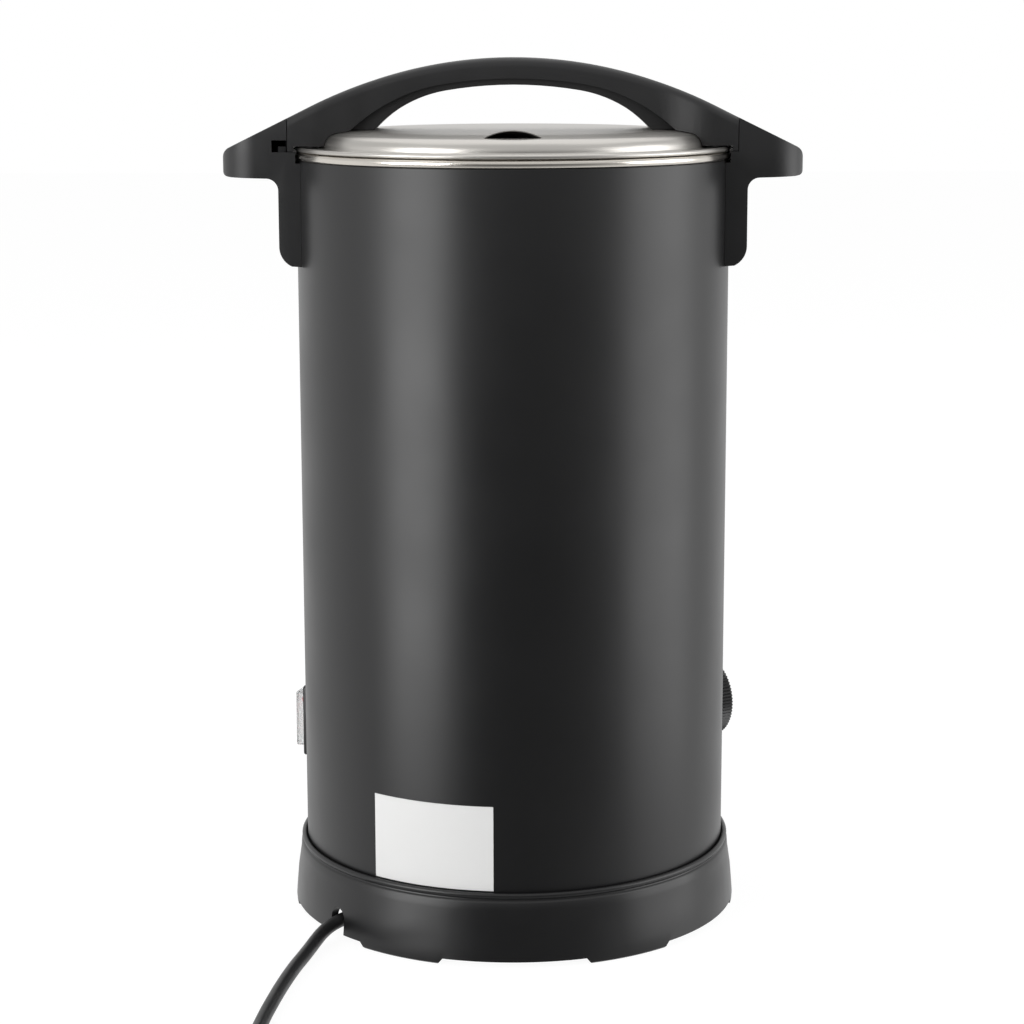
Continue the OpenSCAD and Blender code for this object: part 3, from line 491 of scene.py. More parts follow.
def make_materials(colours):
    """Every finish of the melter, by a short name.

    A plain finish's numbers are its roughness, metallic, grain in millimetres and how deep
    the grain looks.
    """
    return {
        "paint": stoving_enamel(colours),
        "handle": handle_phenolic(colours),
        "base": base_polypropylene(colours),
        "steel": spun_stainless(colours),
        # Steel drawn deep and left bright by the tool: long soft reflections
        "bright_steel": plain("drawn_stainless", "#d8d3cb", 0.2, 1.0, 2.5, 0.05),
        # Zinc-plated and tumbled: a dull grey metal with a faint blue
        "zinc": plain("zinc_plate", "#b4b6b8", 0.34, 1.0, 1.5, 0.1),
        # Stainless, cast and polished: nearly a mirror, soft at its casting dips
        "valve": plain("polished_stainless", "#cfccc6", 0.17, 1.0, 2.0, 0.06),
        # Polyester film, coated white: flat, with a soft sheen
        "label": plain("polyester_film", colours.label, 0.42, 0.0, 1.5, 0.04),
        # Moulded silicone: milky and matt
        "silicone": plain("silicone_rubber", "#cfcac0", 0.6, 0.0, 1.2, 0.12),
        # Sand-cast aluminium: pale and grainy
        "aluminium": plain("cast_aluminium", "#b9babc", 0.45, 1.0, 1.4, 0.3),
        # Steel tube browned by its own heat
        "sheath": plain("heat_darkened_steel", "#5a5652", 0.42, 1.0, 1.5, 0.15),
        # Drawn copper tube: smooth and warm
        "copper": plain("drawn_copper", "#c98a62", 0.3, 1.0, 1.5, 0.1),
        # Pressed melamine: cream and dull
        "resin": plain("melamine_moulding", "#cdc3a8", 0.5, 0.0, 1.0, 0.1),
        # Pressed ceramic with no glaze: chalky and pitted
        "ceramic": plain("bisque_ceramic", "#c4b394", 0.75, 0.0, 0.8, 0.25),
        # Etched and anodised aluminium sheet: an even satin
        "dial": plain("anodised_aluminium", "#c9cacb", 0.36, 1.0, 0.9, 0.12),
        # Screen-printed ink: a flat dark film
        "ink": plain("screen_ink", "#1a1a1a", 0.5, 0.0, 1.0, 0.05),
        # Moulded nylon: black with a low sheen
        "switch": plain("nylon_moulding", "#19191a", 0.38, 0.0, 1.0, 0.1),
        # Moulded polycarbonate: smooth, glossy red
        "rocker": plain("polycarbonate_rocker", colours.rocker, 0.28, 0.0, 2.0, 0.04),
        # Moulded lens: glossy red that lets some light in
        "lens": plain("lamp_lens", "#c2301c", 0.18, 0.0, 2.0, 0.04, clear=0.35),
        "clear": clear_pvc(),
        # Turned white plastic of the ball's seats: pale and waxy
        "seat": plain("turned_seat_plastic", "#ecebe6", 0.4, 0.0, 1.0, 0.05),
        # Vinyl dipped over metal: thick, soft and shiny
        "sleeve": plain("dipped_vinyl", colours.sleeve, 0.3, 0.0, 2.0, 0.08),
        # Extruded soft PVC: black with a satin sheen
        "cord": plain("pvc_cord_jacket", "#1d1d1e", 0.42, 0.0, 1.4, 0.1),
        # Moulded nylon, undyed: milky white
        "tie": plain("nylon_tie", "#dededb", 0.4, 0.0, 1.0, 0.1),
        # Nickel plated on brass: bright, with a yellow cast
        "nickel": plain("nickel_plate", "#cfcbc2", 0.16, 1.0, 2.0, 0.04),
    }


FINISH_OF_SLOT = {
    "black_paint": "paint",
    "steel_sheet": "bright_steel",
    "base_plastic": "base",
    "handle_plastic": "handle",
    "cover_plastic": "handle",
    "plated_steel": "zinc",
    "label_film": "label",
    "silicone": "silicone",
    "cast_aluminium": "aluminium",
    "element_sheath": "sheath",
    "copper": "copper",
    "moulded_resin": "resin",
    "dial_metal": "dial",
    "ceramic": "ceramic",
    "switch_plastic": "switch",
    "red_plastic": "rocker",
    "clear_cap": "clear",
    "lamp_red": "lens",
    "valve_steel": "valve",
    "seat_plastic": "seat",
    "red_sleeve": "sleeve",
    "cord_rubber": "cord",
    "tie_plastic": "tie",
    "plated_brass": "nickel",
}
FINISHES = {}  # filled by main, once the colours are registered


# ---------- pieces ----------


def shell_piece(sizes):
    """The painted shell: one drawn sheet with its cut-outs and a folded top edge."""
    spindle_hole_r, lamp_hole_r, tap_hole_r = 4.9 * MM, 4 * MM, 10.3 * MM
    inner = SHELL_R - sizes.shell_t
    edge = sizes.shell_t / 2
    profile = [(inner, SHELL_FOOT_Z), (SHELL_R, SHELL_FOOT_Z)]
    profile += arc(SHELL_R - edge, RIM_Z - edge, edge, 0, 180, 6)
    piece = turned("shell", profile)
    start, end = inner - 6 * MM, SHELL_R + 6 * MM
    window = plate("hole", SWITCH_HOLE, 0, end - start)
    return cut(
        piece,
        side_bar("hole", KNOB_ANGLE, spindle_hole_r, CONTROL_Z, start, end),
        side_bar("hole", LAMP_ANGLE, lamp_hole_r, CONTROL_Z, start, end),
        side_bar("hole", TAP_ANGLE, tap_hole_r, TAP_Z, start, end),
        on_side(window, SWITCH_ANGLE, start, CONTROL_Z),
    )


def pot_piece():
    """The pot's wall: a drawn tube that flares out over the shell into a rolled rim."""
    floor_low, floor_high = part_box("pot_floor")
    outer_r = POT_R + floor_high.z - floor_low.z
    foot_z, rim_top_z = (corner.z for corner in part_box("inner_pot"))
    bead_r = (rim_top_z - RIM_Z) / 2
    flare_z, flare = RIM_Z - 1.5 * MM, 0.5 * MM
    profile = [(POT_R, foot_z), (POT_R, flare_z - MM), (POT_R + flare, flare_z + 0.6 * MM)]
    profile += arc(SHELL_R - 0.8 * MM, rim_top_z - bead_r, bead_r, 115, -150, 20)
    profile += [(outer_r + flare, flare_z), (outer_r, flare_z - MM), (outer_r, foot_z)]
    piece = turned("pot_wall", profile)
    tap_hole_r, reach = 10.1 * MM, 8 * MM
    return cut(piece, side_bar("hole", TAP_ANGLE, tap_hole_r, TAP_Z, POT_R - reach, POT_R + reach))


def base_line(sizes):
    """Half a section of the base: ledge, inside, foot, flared skirt, groove and rolled lip."""
    bead_r = 1.15 * MM
    ledge_r = SHELL_R - 3.5 * MM
    foot_r = SKIRT_R - 0.15 * MM
    skirt_top_r, skirt_top_z = SHELL_R + 2.7 * MM, BASE_TOP_Z - 3.4 * MM
    lip_r = SHELL_R + 0.15 * MM
    line = [
        (ledge_r, SHELL_FOOT_Z),
        (ledge_r, SHELL_FOOT_Z - 4 * MM),
        (SHELL_R - 0.5 * MM, SHELL_FOOT_Z - 7 * MM),
        (SKIRT_R - 2.5 * MM, sizes.foot_h),
        (SKIRT_R - 2.4 * MM, 0),
        (foot_r - 0.5 * MM, 0),
        (foot_r, 0.5 * MM),
        (SKIRT_R, sizes.foot_h),
        (SKIRT_R - 0.35 * MM, 7 * MM),
        (SKIRT_R - 1.05 * MM, 15 * MM),
        (skirt_top_r + 0.25 * MM, skirt_top_z - 4 * MM),
        (skirt_top_r, skirt_top_z - 0.6 * MM),
        (skirt_top_r - 0.35 * MM, skirt_top_z),
        (SHELL_R + 1.9 * MM, skirt_top_z + 0.35 * MM),
        (SHELL_R + 1.8 * MM, skirt_top_z + 0.8 * MM),
    ]
    line += arc(SHELL_R + 1.35 * MM, BASE_TOP_Z - bead_r, bead_r, -40, 150, 10)
    return line + [(lip_r, BASE_TOP_Z - 1.2 * MM), (lip_r, SHELL_FOOT_Z)]


def skirt_tool(name, outline, inside, run, angle):
    """A cutting tool with this (y, z) outline that runs out through the skirt at an angle."""
    tool = pulled(name, [(SKIRT_R - inside, y, z) for y, z in outline], (run, 0, 0))
    return swung(tool, angle)


def base_piece(sizes):
    """The base moulding with the gaps between its feet, its cord notch and its screw bosses."""
    piece = turned("base_moulding", base_line(sizes))
    low_w, high_w = 32.6 * MM, 29.9 * MM
    gap = [(-low_w, -MM), (-high_w, sizes.foot_h), (high_w, sizes.foot_h), (low_w, -MM)]
    for i in range(FOOT_COUNT):
        angle = (i + 0.5) * TURN / FOOT_COUNT
        cut(piece, skirt_tool("gap", gap, 25 * MM, 35 * MM, angle))
    half = sizes.notch_w / 2
    notch_top_z = 13.4 * MM
    notch = arc(0, notch_top_z - half, half, 0, 180, 12) + [(-half, -MM), (half, -MM)]
    cut(piece, skirt_tool("notch", notch, 14 * MM, 20 * MM, NOTCH_ANGLE))
    hole_r, boss_r, low_z, high_z = 1.6 * MM, 4.5 * MM, 17 * MM, 23.5 * MM
    section = [(hole_r, low_z), (boss_r, low_z), (boss_r, high_z), (hole_r, high_z)]
    for degrees in (20, 140, 260):
        boss = turned("boss", section, 32)
        boss.location = around(SHELL_R - 7 * MM, math.radians(degrees))
        cut(piece, settle(boss), operation="UNION")
    return piece


def lid_line(sizes, out=0):
    """The lid's crown and shoulder from its middle to its side, moved out by a distance."""
    crown_r, tilt = 74 * MM, 11
    lean = math.radians(tilt)
    shoulder_r = sizes.shoulder_r
    shoulder_x = SHELL_R - sizes.lid_edge_w - shoulder_r
    crown_x = shoulder_x - (crown_r - shoulder_r) * math.sin(lean)
    shoulder_z = LID_TOP_Z - crown_r + (crown_r - shoulder_r) * math.cos(lean)
    line = arc(crown_x, LID_TOP_Z - crown_r, crown_r + out, 90, 90 - tilt, 8)
    return line + arc(shoulder_x, shoulder_z, shoulder_r + out, 90 - tilt, 0, 14)[1:]


def lid_piece(sizes):
    """The lid: a crowned top, a drawn shoulder, a rolled edge and a vent louver at the back."""
    dome_r = SHELL_R - sizes.lid_edge_w
    under_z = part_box("lid_gasket")[1].z
    over_z = under_z + sizes.lid_t
    bead = (SHELL_R - 0.4 * MM, (under_z + over_z) / 2)
    fillet = 0.8 * MM
    top = [(0, LID_TOP_Z)] + lid_line(sizes)
    top += arc(dome_r + fillet, over_z + fillet, fillet, 180, 270, 4)
    top += arc(*bead, sizes.lid_bead_r, 150, -150, 16)
    under = [(dome_r - sizes.lid_t, under_z)]
    under += lid_line(sizes, -sizes.lid_t)[::-1] + [(0, LID_TOP_Z - sizes.lid_t)]
    piece = turned("lid", top + under)
    cut(piece, louver_cap(sizes, 0), operation="UNION")
    return cut(piece, louver_cap(sizes, sizes.louver_t))


def louver_cap(sizes, inset):
    """Half a low round cap for the vent; an inset one is the space inside it."""
    half = sizes.louver_w / 2
    cap_r = (half * half + sizes.louver_h**2) / (2 * sizes.louver_h)
    foot_z = LID_TOP_Z - 1.1 * MM
    centre_z = foot_z + sizes.louver_h - cap_r
    mouth_y = SHELL_R - sizes.lid_edge_w - 7.5 * MM
    deselect()
    bpy.ops.mesh.primitive_uv_sphere_add(
        segments=96, ring_count=64, radius=cap_r - inset, location=(0, mouth_y, centre_z)
    )
    cap = added("cap")
    # The space inside runs out through the mouth and down through the lid
    low_z = foot_z - (3 * MM if inset else 0.5 * MM)
    high_y = mouth_y + MM if inset else mouth_y
    keep = block("keep", (-half, mouth_y - half, low_z), (half, high_y, LID_TOP_Z + 20 * MM))
    return cut(cap, keep, operation="INTERSECT")


def arch_line(top_z, mid_r, end_r, bend_x, foot_z):
    """The line under the arch from its right foot to its left one: flatter in its middle."""
    bend = math.asin(bend_x / mid_r)
    bend_z = top_z - mid_r * (1 - math.cos(bend))
    end_x, end_z = bend_x - end_r * math.sin(bend), bend_z - end_r * math.cos(bend)
    start = math.degrees(math.asin((foot_z - end_z) / end_r))
    turn = math.degrees(bend)
    right = arc(end_x, end_z, end_r, start, 90 - turn, 18)
    middle = arc(0, top_z - mid_r, mid_r, 90 - turn, 90 + turn, 10)
    return right + middle[1:-1] + [(-x, z) for x, z in reversed(right)]


def top_end(sizes):
    """The slope of the handle's straight ends and the top line's height at the seam."""
    turn = math.asin((SEAM_R - STRAIGHT_L) / sizes.arch_r)
    slope = math.tan(turn)
    return slope, ARCH_TOP_Z - sizes.arch_r * (1 - math.cos(turn)) - STRAIGHT_L * slope


def arch_z(sizes, x):
    """The height of the handle's top line at this distance from its middle."""
    x = abs(x)
    if x > SEAM_R - STRAIGHT_L:
        slope, seam_z = top_end(sizes)
        return seam_z + (SEAM_R - x) * slope
    return ARCH_TOP_Z - sizes.arch_r + math.sqrt(sizes.arch_r**2 - x * x)


def half_width(sizes, x):
    """Half of the handle's width at this distance from its middle."""
    flare_x, flare_l, swell = 60 * MM, 24 * MM, 2 * MM
    half = sizes.waist_w / 2
    flare = GRIP_W / 2 - half - swell
    return half + swell * min(1, x / flare_x) ** 2 + flare * ease((x - flare_x) / flare_l)


def handle_piece(sizes):
    """The arched handle: one moulding, wide at its ends and narrow where it is held."""
    cover_lap, step = 2.6 * MM, 3 * MM
    low_top_z = COVER_TOP_Z - sizes.cover_t + cover_lap
    low = arch_line(low_top_z, 190 * MM, 75 * MM, BEND_X, HOOK_Z)
    xs = [i * step for i in range(-34, 35)]
    top = [(x, arch_z(sizes, x)) for x in xs]
    outline = [(xs[-1], HOOK_Z), *reversed(top), (xs[0], HOOK_Z), *reversed(low)]
    piece = pulled("handle", upright(outline, -GRIP_W), (0, 2 * GRIP_W, 0))
    side = [(x, half_width(sizes, abs(x))) for x in xs]
    plan = side + [(x, -y) for x, y in reversed(side)]
    cut(
        piece,
        pulled("plan", laid(plan, HOOK_Z - MM), (0, 0, 60 * MM)),
        barrel("seam", SEAM_R, HOOK_Z - MM, ARCH_TOP_Z + MM),
        operation="INTERSECT",
    )
    clean(piece, 0.02)

    def rounded(edge):
        """Whether this is a sharp edge along the handle's top, and not on a seam."""
        ends = [corner.co for corner in edge.verts]
        if len(edge.link_faces) != 2 or edge.calc_face_angle(0) < math.radians(35):
            return False
        on_top = all(at.z > arch_z(sizes, at.x) - 0.5 * MM for at in ends)
        return on_top and min(at.xy.length for at in ends) < SEAM_R - 0.1 * MM

    pick(piece, "EDGE", rounded)
    bpy.ops.mesh.bevel(offset=sizes.moulding_r, segments=5)
    deselect()
    return cut(piece, lid_room(sizes))


def lid_room(sizes):
    """The space that the handle leaves for the lid's shoulder and rolled edge."""
    gap = 0.3 * MM
    side_r = SHELL_R - sizes.lid_edge_w + gap
    room_z = LID_TOP_Z - 6.2 * MM
    hook_r = SHELL_R + 2.8 * MM
    inside = 0.4 * side_r
    profile = [(inside, LID_TOP_Z + gap)]
    profile += [point for point in lid_line(sizes, gap) if point[1] > room_z]
    profile += [(side_r, room_z), (hook_r, room_z), (hook_r, RIM_Z), (inside, RIM_Z)]
    return turned("room", profile)


def cover_piece(sizes):
    """The palm piece under the arch: a rounded strip screwed up into the handle."""
    half_t = sizes.cover_t / 2
    palm_r, end_r, half_w = 168.5 * MM, 53.5 * MM, 15 * MM
    middle_r = palm_r + half_t
    foot_z = LID_TOP_Z - 12 * MM
    bend_x = BEND_X * middle_r / palm_r
    line = arch_line(COVER_TOP_Z - half_t, middle_r, end_r + half_t, bend_x, foot_z)
    piece = draw("palm_cover", upright(line, -half_w), closed=False)
    bpy.ops.mesh.extrude_edges_move(TRANSFORM_OT_translate={"value": (0, 2 * half_w, 0)})
    modify(piece, "SOLIDIFY", thickness=sizes.cover_t, offset=0, use_even_offset=True)
    edit(piece)
    bpy.ops.mesh.bisect(
        plane_co=(0, 0, LID_TOP_Z), plane_no=(0, 0, 1), clear_inner=True, use_fill=True
    )
    return round_edges(tidy(piece), 2.4 * MM, 4)


def grip_outline(sizes):
    """A side grip from the side: a bracket on the shell, a fillet and a tip that points out."""
    slope, seam_z = top_end(sizes)
    under_z = LID_TOP_Z - 19.5 * MM
    bracket_r = SHELL_R + 5.9 * MM
    tip_z = under_z + 0.8 * MM
    tip_top_z = tip_z + 13 * MM
    foot_z = GRIP_FOOT_Z - 0.8 * MM
    inside = SHELL_R - 6 * MM
    return (
        [(inside, foot_z + 0.4 * MM)]
        + arc(bracket_r - 9 * MM, foot_z + 9 * MM, 9 * MM, -65, 0, 10)
        + arc(bracket_r + 5 * MM, under_z - 5 * MM, 5 * MM, 180, 93, 10)
        + [(GRIP_REACH - 4 * MM, tip_z - 0.4 * MM)]
        + arc(GRIP_REACH - 2.6 * MM, tip_z + 2.4 * MM, 2.6 * MM, -80, 0, 8)
        + arc(GRIP_REACH - 6 * MM, tip_top_z - 6.6 * MM, 6 * MM, 0, 64, 10)
        + [(SEAM_R - 3 * MM, seam_z + 3 * MM * slope), (inside, seam_z + 3 * MM * slope)]
    )


def grip_piece(sizes, name, turn):
    """A side grip with its catch slot and stop rib, turned round the body to its side."""
    half, corner_r = GRIP_W / 2, 15 * MM
    inside, corner_x = SHELL_R - 10 * MM, GRIP_REACH - corner_r
    plan = [(inside, -half)]
    plan += arc(corner_x, -half + corner_r, corner_r, -90, 0, 16)
    plan += arc(corner_x, half - corner_r, corner_r, 0, 90, 16)
    plan += [(inside, half)]
    piece = pulled(name, upright(grip_outline(sizes), -half - MM), (0, GRIP_W + 2 * MM, 0))
    stem = pulled("plan", laid(plan, GRIP_FOOT_Z - 5 * MM), (0, 0, 80 * MM))
    clean(cut(piece, stem, operation="INTERSECT"))
    round_edges(piece, 3 * MM, 5)
    _, seam_z = top_end(sizes)
    ledge_z = HOOK_Z - 0.3 * MM
    cut(
        piece,
        barrel("shell_room", SEAT_R, GRIP_FOOT_Z - 10 * MM, RIM_Z - 0.8 * MM),
        barrel("rim_room", SHELL_R + 2 * MM, RIM_Z - MM, ledge_z),
        barrel("seam_room", SEAM_R + 0.3 * MM, ledge_z - 0.01 * MM, seam_z + 20 * MM),
    )
    slot = arc(0, 0, SEAM_R + 6.4 * MM, -8, 22, 16) + arc(0, 0, SEAM_R - MM, 22, -8, 16)
    cut(piece, pulled("slot", laid(slot, ledge_z), (0, 0, sizes.slot_h)))
    rib = arc(0, 0, SEAM_R + 3.5 * MM, 4, 14, 8) + arc(0, 0, SEAM_R + 0.4 * MM, 14, 4, 8)
    rib_piece = pulled("rib", laid(rib, ledge_z - 0.2 * MM), (0, 0, 2.5 * MM))
    return swung(cut(piece, rib_piece, operation="UNION"), turn)


def knob_piece(sizes):
    """The thermostat knob: a skirt, a ribbed rim and a dished face with a pointer groove."""
    ribs, rib_depth = 72, 0.7 * MM
    height, skirt_h = 13.4 * MM, 2.1 * MM
    piece = barrel("thermostat_knob", sizes.knob_r, skirt_h - 0.5 * MM, height, 2 * ribs)

    def in_valley(corner):
        """Whether the corner is between two ribs: every other one round the rim."""
        return round(math.atan2(corner.co.y, corner.co.x) * ribs / math.pi) % 2 == 0

    pick(piece, "VERT", in_valley)
    valley = 1 - rib_depth / sizes.knob_r
    bpy.ops.transform.resize(value=(valley, valley, 1))
    pick(piece, "FACE", lambda face: face.normal.z > 0.5)
    # The face's steps inwards: how far each rises in millimetres, and its size
    for rise, size in ((0.6, 0.97), (0.3, 0.93), (0, 0.86), (-0.5, 0.97), (-0.4, 0.9)):
        bpy.ops.mesh.extrude_region_move(TRANSFORM_OT_translate={"value": (0, 0, rise * MM)})
        bpy.ops.transform.resize(value=(size, size, 1))
    deselect()
    half_w = 0.7 * MM
    pointer = block(
        "pointer",
        (-sizes.knob_r - MM, -half_w, height - 0.4 * MM),
        (-0.45 * sizes.knob_r, half_w, height + 2 * MM),
    )
    cut(piece, pointer)
    inner_r, rim_r = 5.8 * MM, sizes.knob_r + MM
    profile = [(inner_r, 0), (rim_r - 0.4 * MM, 0), (rim_r, 0.4 * MM)]
    profile += [(rim_r, 1.5 * MM), (rim_r - 0.5 * MM, skirt_h), (inner_r, skirt_h)]
    cut(piece, turned("skirt", profile, 130), operation="UNION")
    spindle_r, bore_top = 3.05 * MM, 9.4 * MM
    cut(piece, barrel("bore", spindle_r, -MM, bore_top, 48))
    return on_side(piece, KNOB_ANGLE, SHELL_R + 2 * MM, CONTROL_Z)


def frame_piece():
    """The switch's frame: a rounded bezel with its back cut to the shell's curve."""
    front, depth = 3 * MM, 9 * MM
    piece = plate("switch_bezel", (16 * MM, 13 * MM), -1.4 * MM, front)
    pick(piece, "EDGE", lambda edge: abs(edge.verts[0].co.z - edge.verts[1].co.z) > MM)
    bpy.ops.mesh.bevel(offset=1.6 * MM, segments=6)
    deselect()
    round_edges(piece, 0.6 * MM)
    cut(piece, plate("window", (11.2 * MM, 7.7 * MM), -depth, depth))
    cut(piece, plate("recess", SWITCH_HOLE, -depth, front - 1.6 * MM))
    on_side(piece, SWITCH_ANGLE, SHELL_R, CONTROL_Z)
    return cut(piece, barrel("shell_room", SEAT_R, CONTROL_Z - 30 * MM, CONTROL_Z + 30 * MM))


def cap_piece():
    """The clear splash cap over the rocker: a thin soft box with a flange."""
    height, wall, lip = 4.5 * MM, 0.6 * MM, MM
    half_l, half_w = 12.3 * MM, 9.3 * MM
    piece = plate("splash_cap", (half_l, half_w), 0, height)
    flange = plate("flange", (half_l + lip, half_w + lip), 0, wall)
    cut(piece, flange, operation="UNION")
    round_edges(piece, 0.9 * MM, 4)
    cut(piece, plate("hollow", (half_l - wall, half_w - wall), -MM, height - wall))
    return on_side(piece, SWITCH_ANGLE, SHELL_R + 3 * MM, CONTROL_Z)


def rocker_piece():
    """The rocker: two sloping halves with a soft ridge, its upper end standing out."""
    half_w = 7.3 * MM
    # The section's corners in millimetres: how far each stands out, and its height
    side = [
        (-7, -7.6), (-4, -9.4), (-0.4, -9.8), (0.1, -1), (0.3, 0.6),
        (2.6, 8.9), (2.2, 9.5), (-4, 9.3), (-7, 7.4), (-8, 3), (-8, -3),
    ]  # fmt: skip
    corners = [(-up * MM, -half_w, out * MM) for out, up in side]
    piece = pulled("rocker_key", corners, (0, 2 * half_w, 0))
    round_edges(piece, 0.35 * MM)
    return on_side(piece, SWITCH_ANGLE, SHELL_R + 3 * MM, CONTROL_Z)


def dial_tick(turn, long):
    """A tick of the dial, drawn flat round the origin."""
    inner, half_w = 20.2 * MM, 0.2 * MM
    outer = inner + (2.2 if long else 1.3) * MM
    tick = block("tick", (inner, -half_w, -0.1 * MM), (outer, half_w, 0.12 * MM))
    return swung(tick, turn)


def dial_number(turn, number):
    """A number of the dial, drawn flat round the origin and made a mesh."""
    deselect()
    bpy.ops.object.text_add(location=(0, 0, 0))
    text = bpy.context.object
    text.data.body = number
    text.data.size = 2.6 * MM
    text.data.align_x = "CENTER"
    text.data.align_y = "CENTER"
    text.data.extrude = 0.06 * MM
    hold(text)
    bpy.ops.object.convert(target="MESH")
    text = bpy.context.object
    text.location = around(23.4 * MM, turn, 0.05 * MM)
    return settle(text)


def dial_marks():
    """Ticks and plain numbers round the knob, standing a hair above the dial plate."""
    first, sweep = math.radians(225), math.radians(270)
    tick_count = 11
    numbers = ("0", "30", "50", "70", "90", "110")
    marks = []
    for i in range(tick_count):
        marks.append(dial_tick(first - i * sweep / (tick_count - 1), i % 2 == 0))
    for i, number in enumerate(numbers):
        marks.append(dial_number(first - i * sweep / (len(numbers) - 1), number))
    deselect()
    for mark in marks:
        mark.select_set(True)
    bpy.context.view_layer.objects.active = marks[0]
    bpy.ops.object.join()
    piece = bpy.context.object
    piece.name = "dial_print"
    swung(piece, math.pi / 2)
    # Laid on the shell's curve: the drawing's width runs round the body
    ring_r = SHELL_R + 0.3 * MM
    for vertex in piece.data.vertices:
        up, across, rise = vertex.co
        vertex.co = around(ring_r + rise, KNOB_ANGLE + across / ring_r, CONTROL_Z + up)
    return tidy(piece, 1e-7)


def bent_rod(name, r, start_y, bend_r, outlet):
    """A rod that runs to -Y, turns down through an elbow and ends at the outlet's (y, z)."""
    outlet_y, outlet_z = outlet
    bend_y, bend_z = outlet_y + bend_r, TAP_Z - bend_r
    turn = math.pi / 2
    deselect()
    bpy.ops.mesh.primitive_circle_add(
        vertices=48, radius=r, fill_type="NGON", location=(0, start_y, TAP_Z), rotation=(turn, 0, 0)
    )
    piece = added(name)
    edit(piece)
    bpy.ops.mesh.extrude_region_move(TRANSFORM_OT_translate={"value": (0, bend_y - start_y, 0)})
    bpy.ops.mesh.spin(steps=14, angle=-turn, center=(0, bend_y, bend_z), axis=(1, 0, 0))
    bpy.ops.mesh.extrude_region_move(TRANSFORM_OT_translate={"value": (0, 0, outlet_z - bend_z)})
    return tidy(piece)


def spout_piece():
    """The tap's spout: a hexagon union, a smooth elbow and an outlet with a rounded lip."""
    low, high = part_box("tap_spout")
    spout_r, bore_r, lip_w, bend_r = 8.5 * MM, 6 * MM, 1.2 * MM, 9 * MM
    union_r, tail_r, band_l = 14 * MM, 10.2 * MM, 3 * MM
    outlet_y = low.y + spout_r + lip_w
    flange_y = outlet_y + bend_r
    union_y = -flange_y - 0.1 * MM
    piece = bent_rod("spout", spout_r, flange_y + 2 * MM, bend_r, (outlet_y, low.z))
    union = side_bar("union", TAP_ANGLE, union_r, TAP_Z, union_y, union_y + band_l, 6)
    tail = side_bar("tail", TAP_ANGLE, tail_r, TAP_Z, -high.y, -flange_y)
    ring = barrel("lip", spout_r + lip_w, low.z, low.z + band_l, 64)
    ring.location.y = outlet_y
    settle(ring)
    for part in (union, ring):
        round_edges(part, 0.5 * MM)
    cut(piece, union, tail, ring, operation="UNION")
    return cut(piece, bent_rod("bore", bore_r, high.y + MM, bend_r, (outlet_y, low.z - MM)))


# The cord's route and its tail behind the coil, in millimetres, as in the solids
CORD_ROUTE = [
    (71.5, 57.9, 8), (74.8, 60.6, 7.4), (78.3, 64.2, 6.4), (81.2, 68.9, 5.2), (83.4, 74.8, 4.1),
    (85.3, 81.7, 3.3), (87.2, 90, 3.0), (90.2, 104, 2.9), (93.2, 122, 2.9), (95.6, 140, 2.9),
    (97.5, 157, 2.9), (98.9, 174, 2.9), (99.7, 190, 3.0), (100.1, 206, 3.3), (100.3, 222, 3.5),
]  # fmt: skip
TAIL_ROUTE = [
    (54, 277.9, 10.2), (45, 279.4, 12.2), (36, 282.0, 15.2),
    (28, 284.3, 17.6), (20, 285.4, 18.5), (12, 285.5, 18.5),
]  # fmt: skip


def ease(t):
    """A smooth step from 0 to 1."""
    t = min(max(t, 0), 1)
    return t * t * (3 - 2 * t)


def coil_points(sizes):
    """The coil: three turns in, a step up and three turns out, in a loop."""
    pitch = sizes.cord_d / MM
    centre_x, centre_y, middle_r = 62.5, 240, 32
    low_z = 0.7 + pitch / 2
    points = []

    def stepped(degrees, start):
        """How far the cord has moved over, in a step of 60 degrees from its start."""
        return ease((degrees - start) / 60)

    for degrees in range(-3, 1891, 13):
        inward = stepped(degrees, 300) + stepped(degrees, 660)
        outward = stepped(degrees, 1240) + stepped(degrees, 1600)
        r = middle_r + pitch * (1 - inward + outward)
        x, y, z = around(r, math.radians(degrees), low_z + pitch * stepped(degrees, 950))
        points.append((centre_x + x, centre_y + y, z))
    return points


def cord_piece(sizes):
    """The mains cord: out of the base's notch, along the table, a coil and a tail to the plug."""
    points = [Vector(at) * MM for at in CORD_ROUTE + coil_points(sizes) + TAIL_ROUTE]
    curve = bpy.data.curves.new("mains_cord", "CURVE")
    curve.dimensions = "3D"
    curve.bevel_depth = sizes.cord_d / 2
    curve.bevel_resolution = 6
    curve.resolution_u = 6
    curve.use_fill_caps = True
    spline = curve.splines.new("BEZIER")
    spline.bezier_points.add(len(points) - 1)
    for knot, point in zip(spline.bezier_points, points):
        knot.co = point
        knot.handle_left_type = knot.handle_right_type = "AUTO"
    piece = bpy.data.objects.new("mains_cord", curve)
    bpy.context.scene.collection.objects.link(piece)
    return piece


# ---------- stage ----------


def softbox(name, azimuth, elevation, distance, size, energy):
    """A rectangular softbox aimed at the melter's middle; azimuth is from +Y towards +X."""
    middle = Vector((0, 0, 0.2))
    a, e = math.radians(azimuth), math.radians(elevation)
    way = Vector((math.sin(a) * math.cos(e), math.cos(a) * math.cos(e), math.sin(e)))
    deselect()
    bpy.ops.object.light_add(type="AREA", location=middle + way * distance)
    lamp = bpy.context.object
    lamp.name = name
    lamp.data.shape = "RECTANGLE"
    lamp.data.size, lamp.data.size_y = size
    lamp.data.energy = energy
    lamp.rotation_euler = (middle - lamp.location).to_track_quat("-Z", "Y").to_euler()


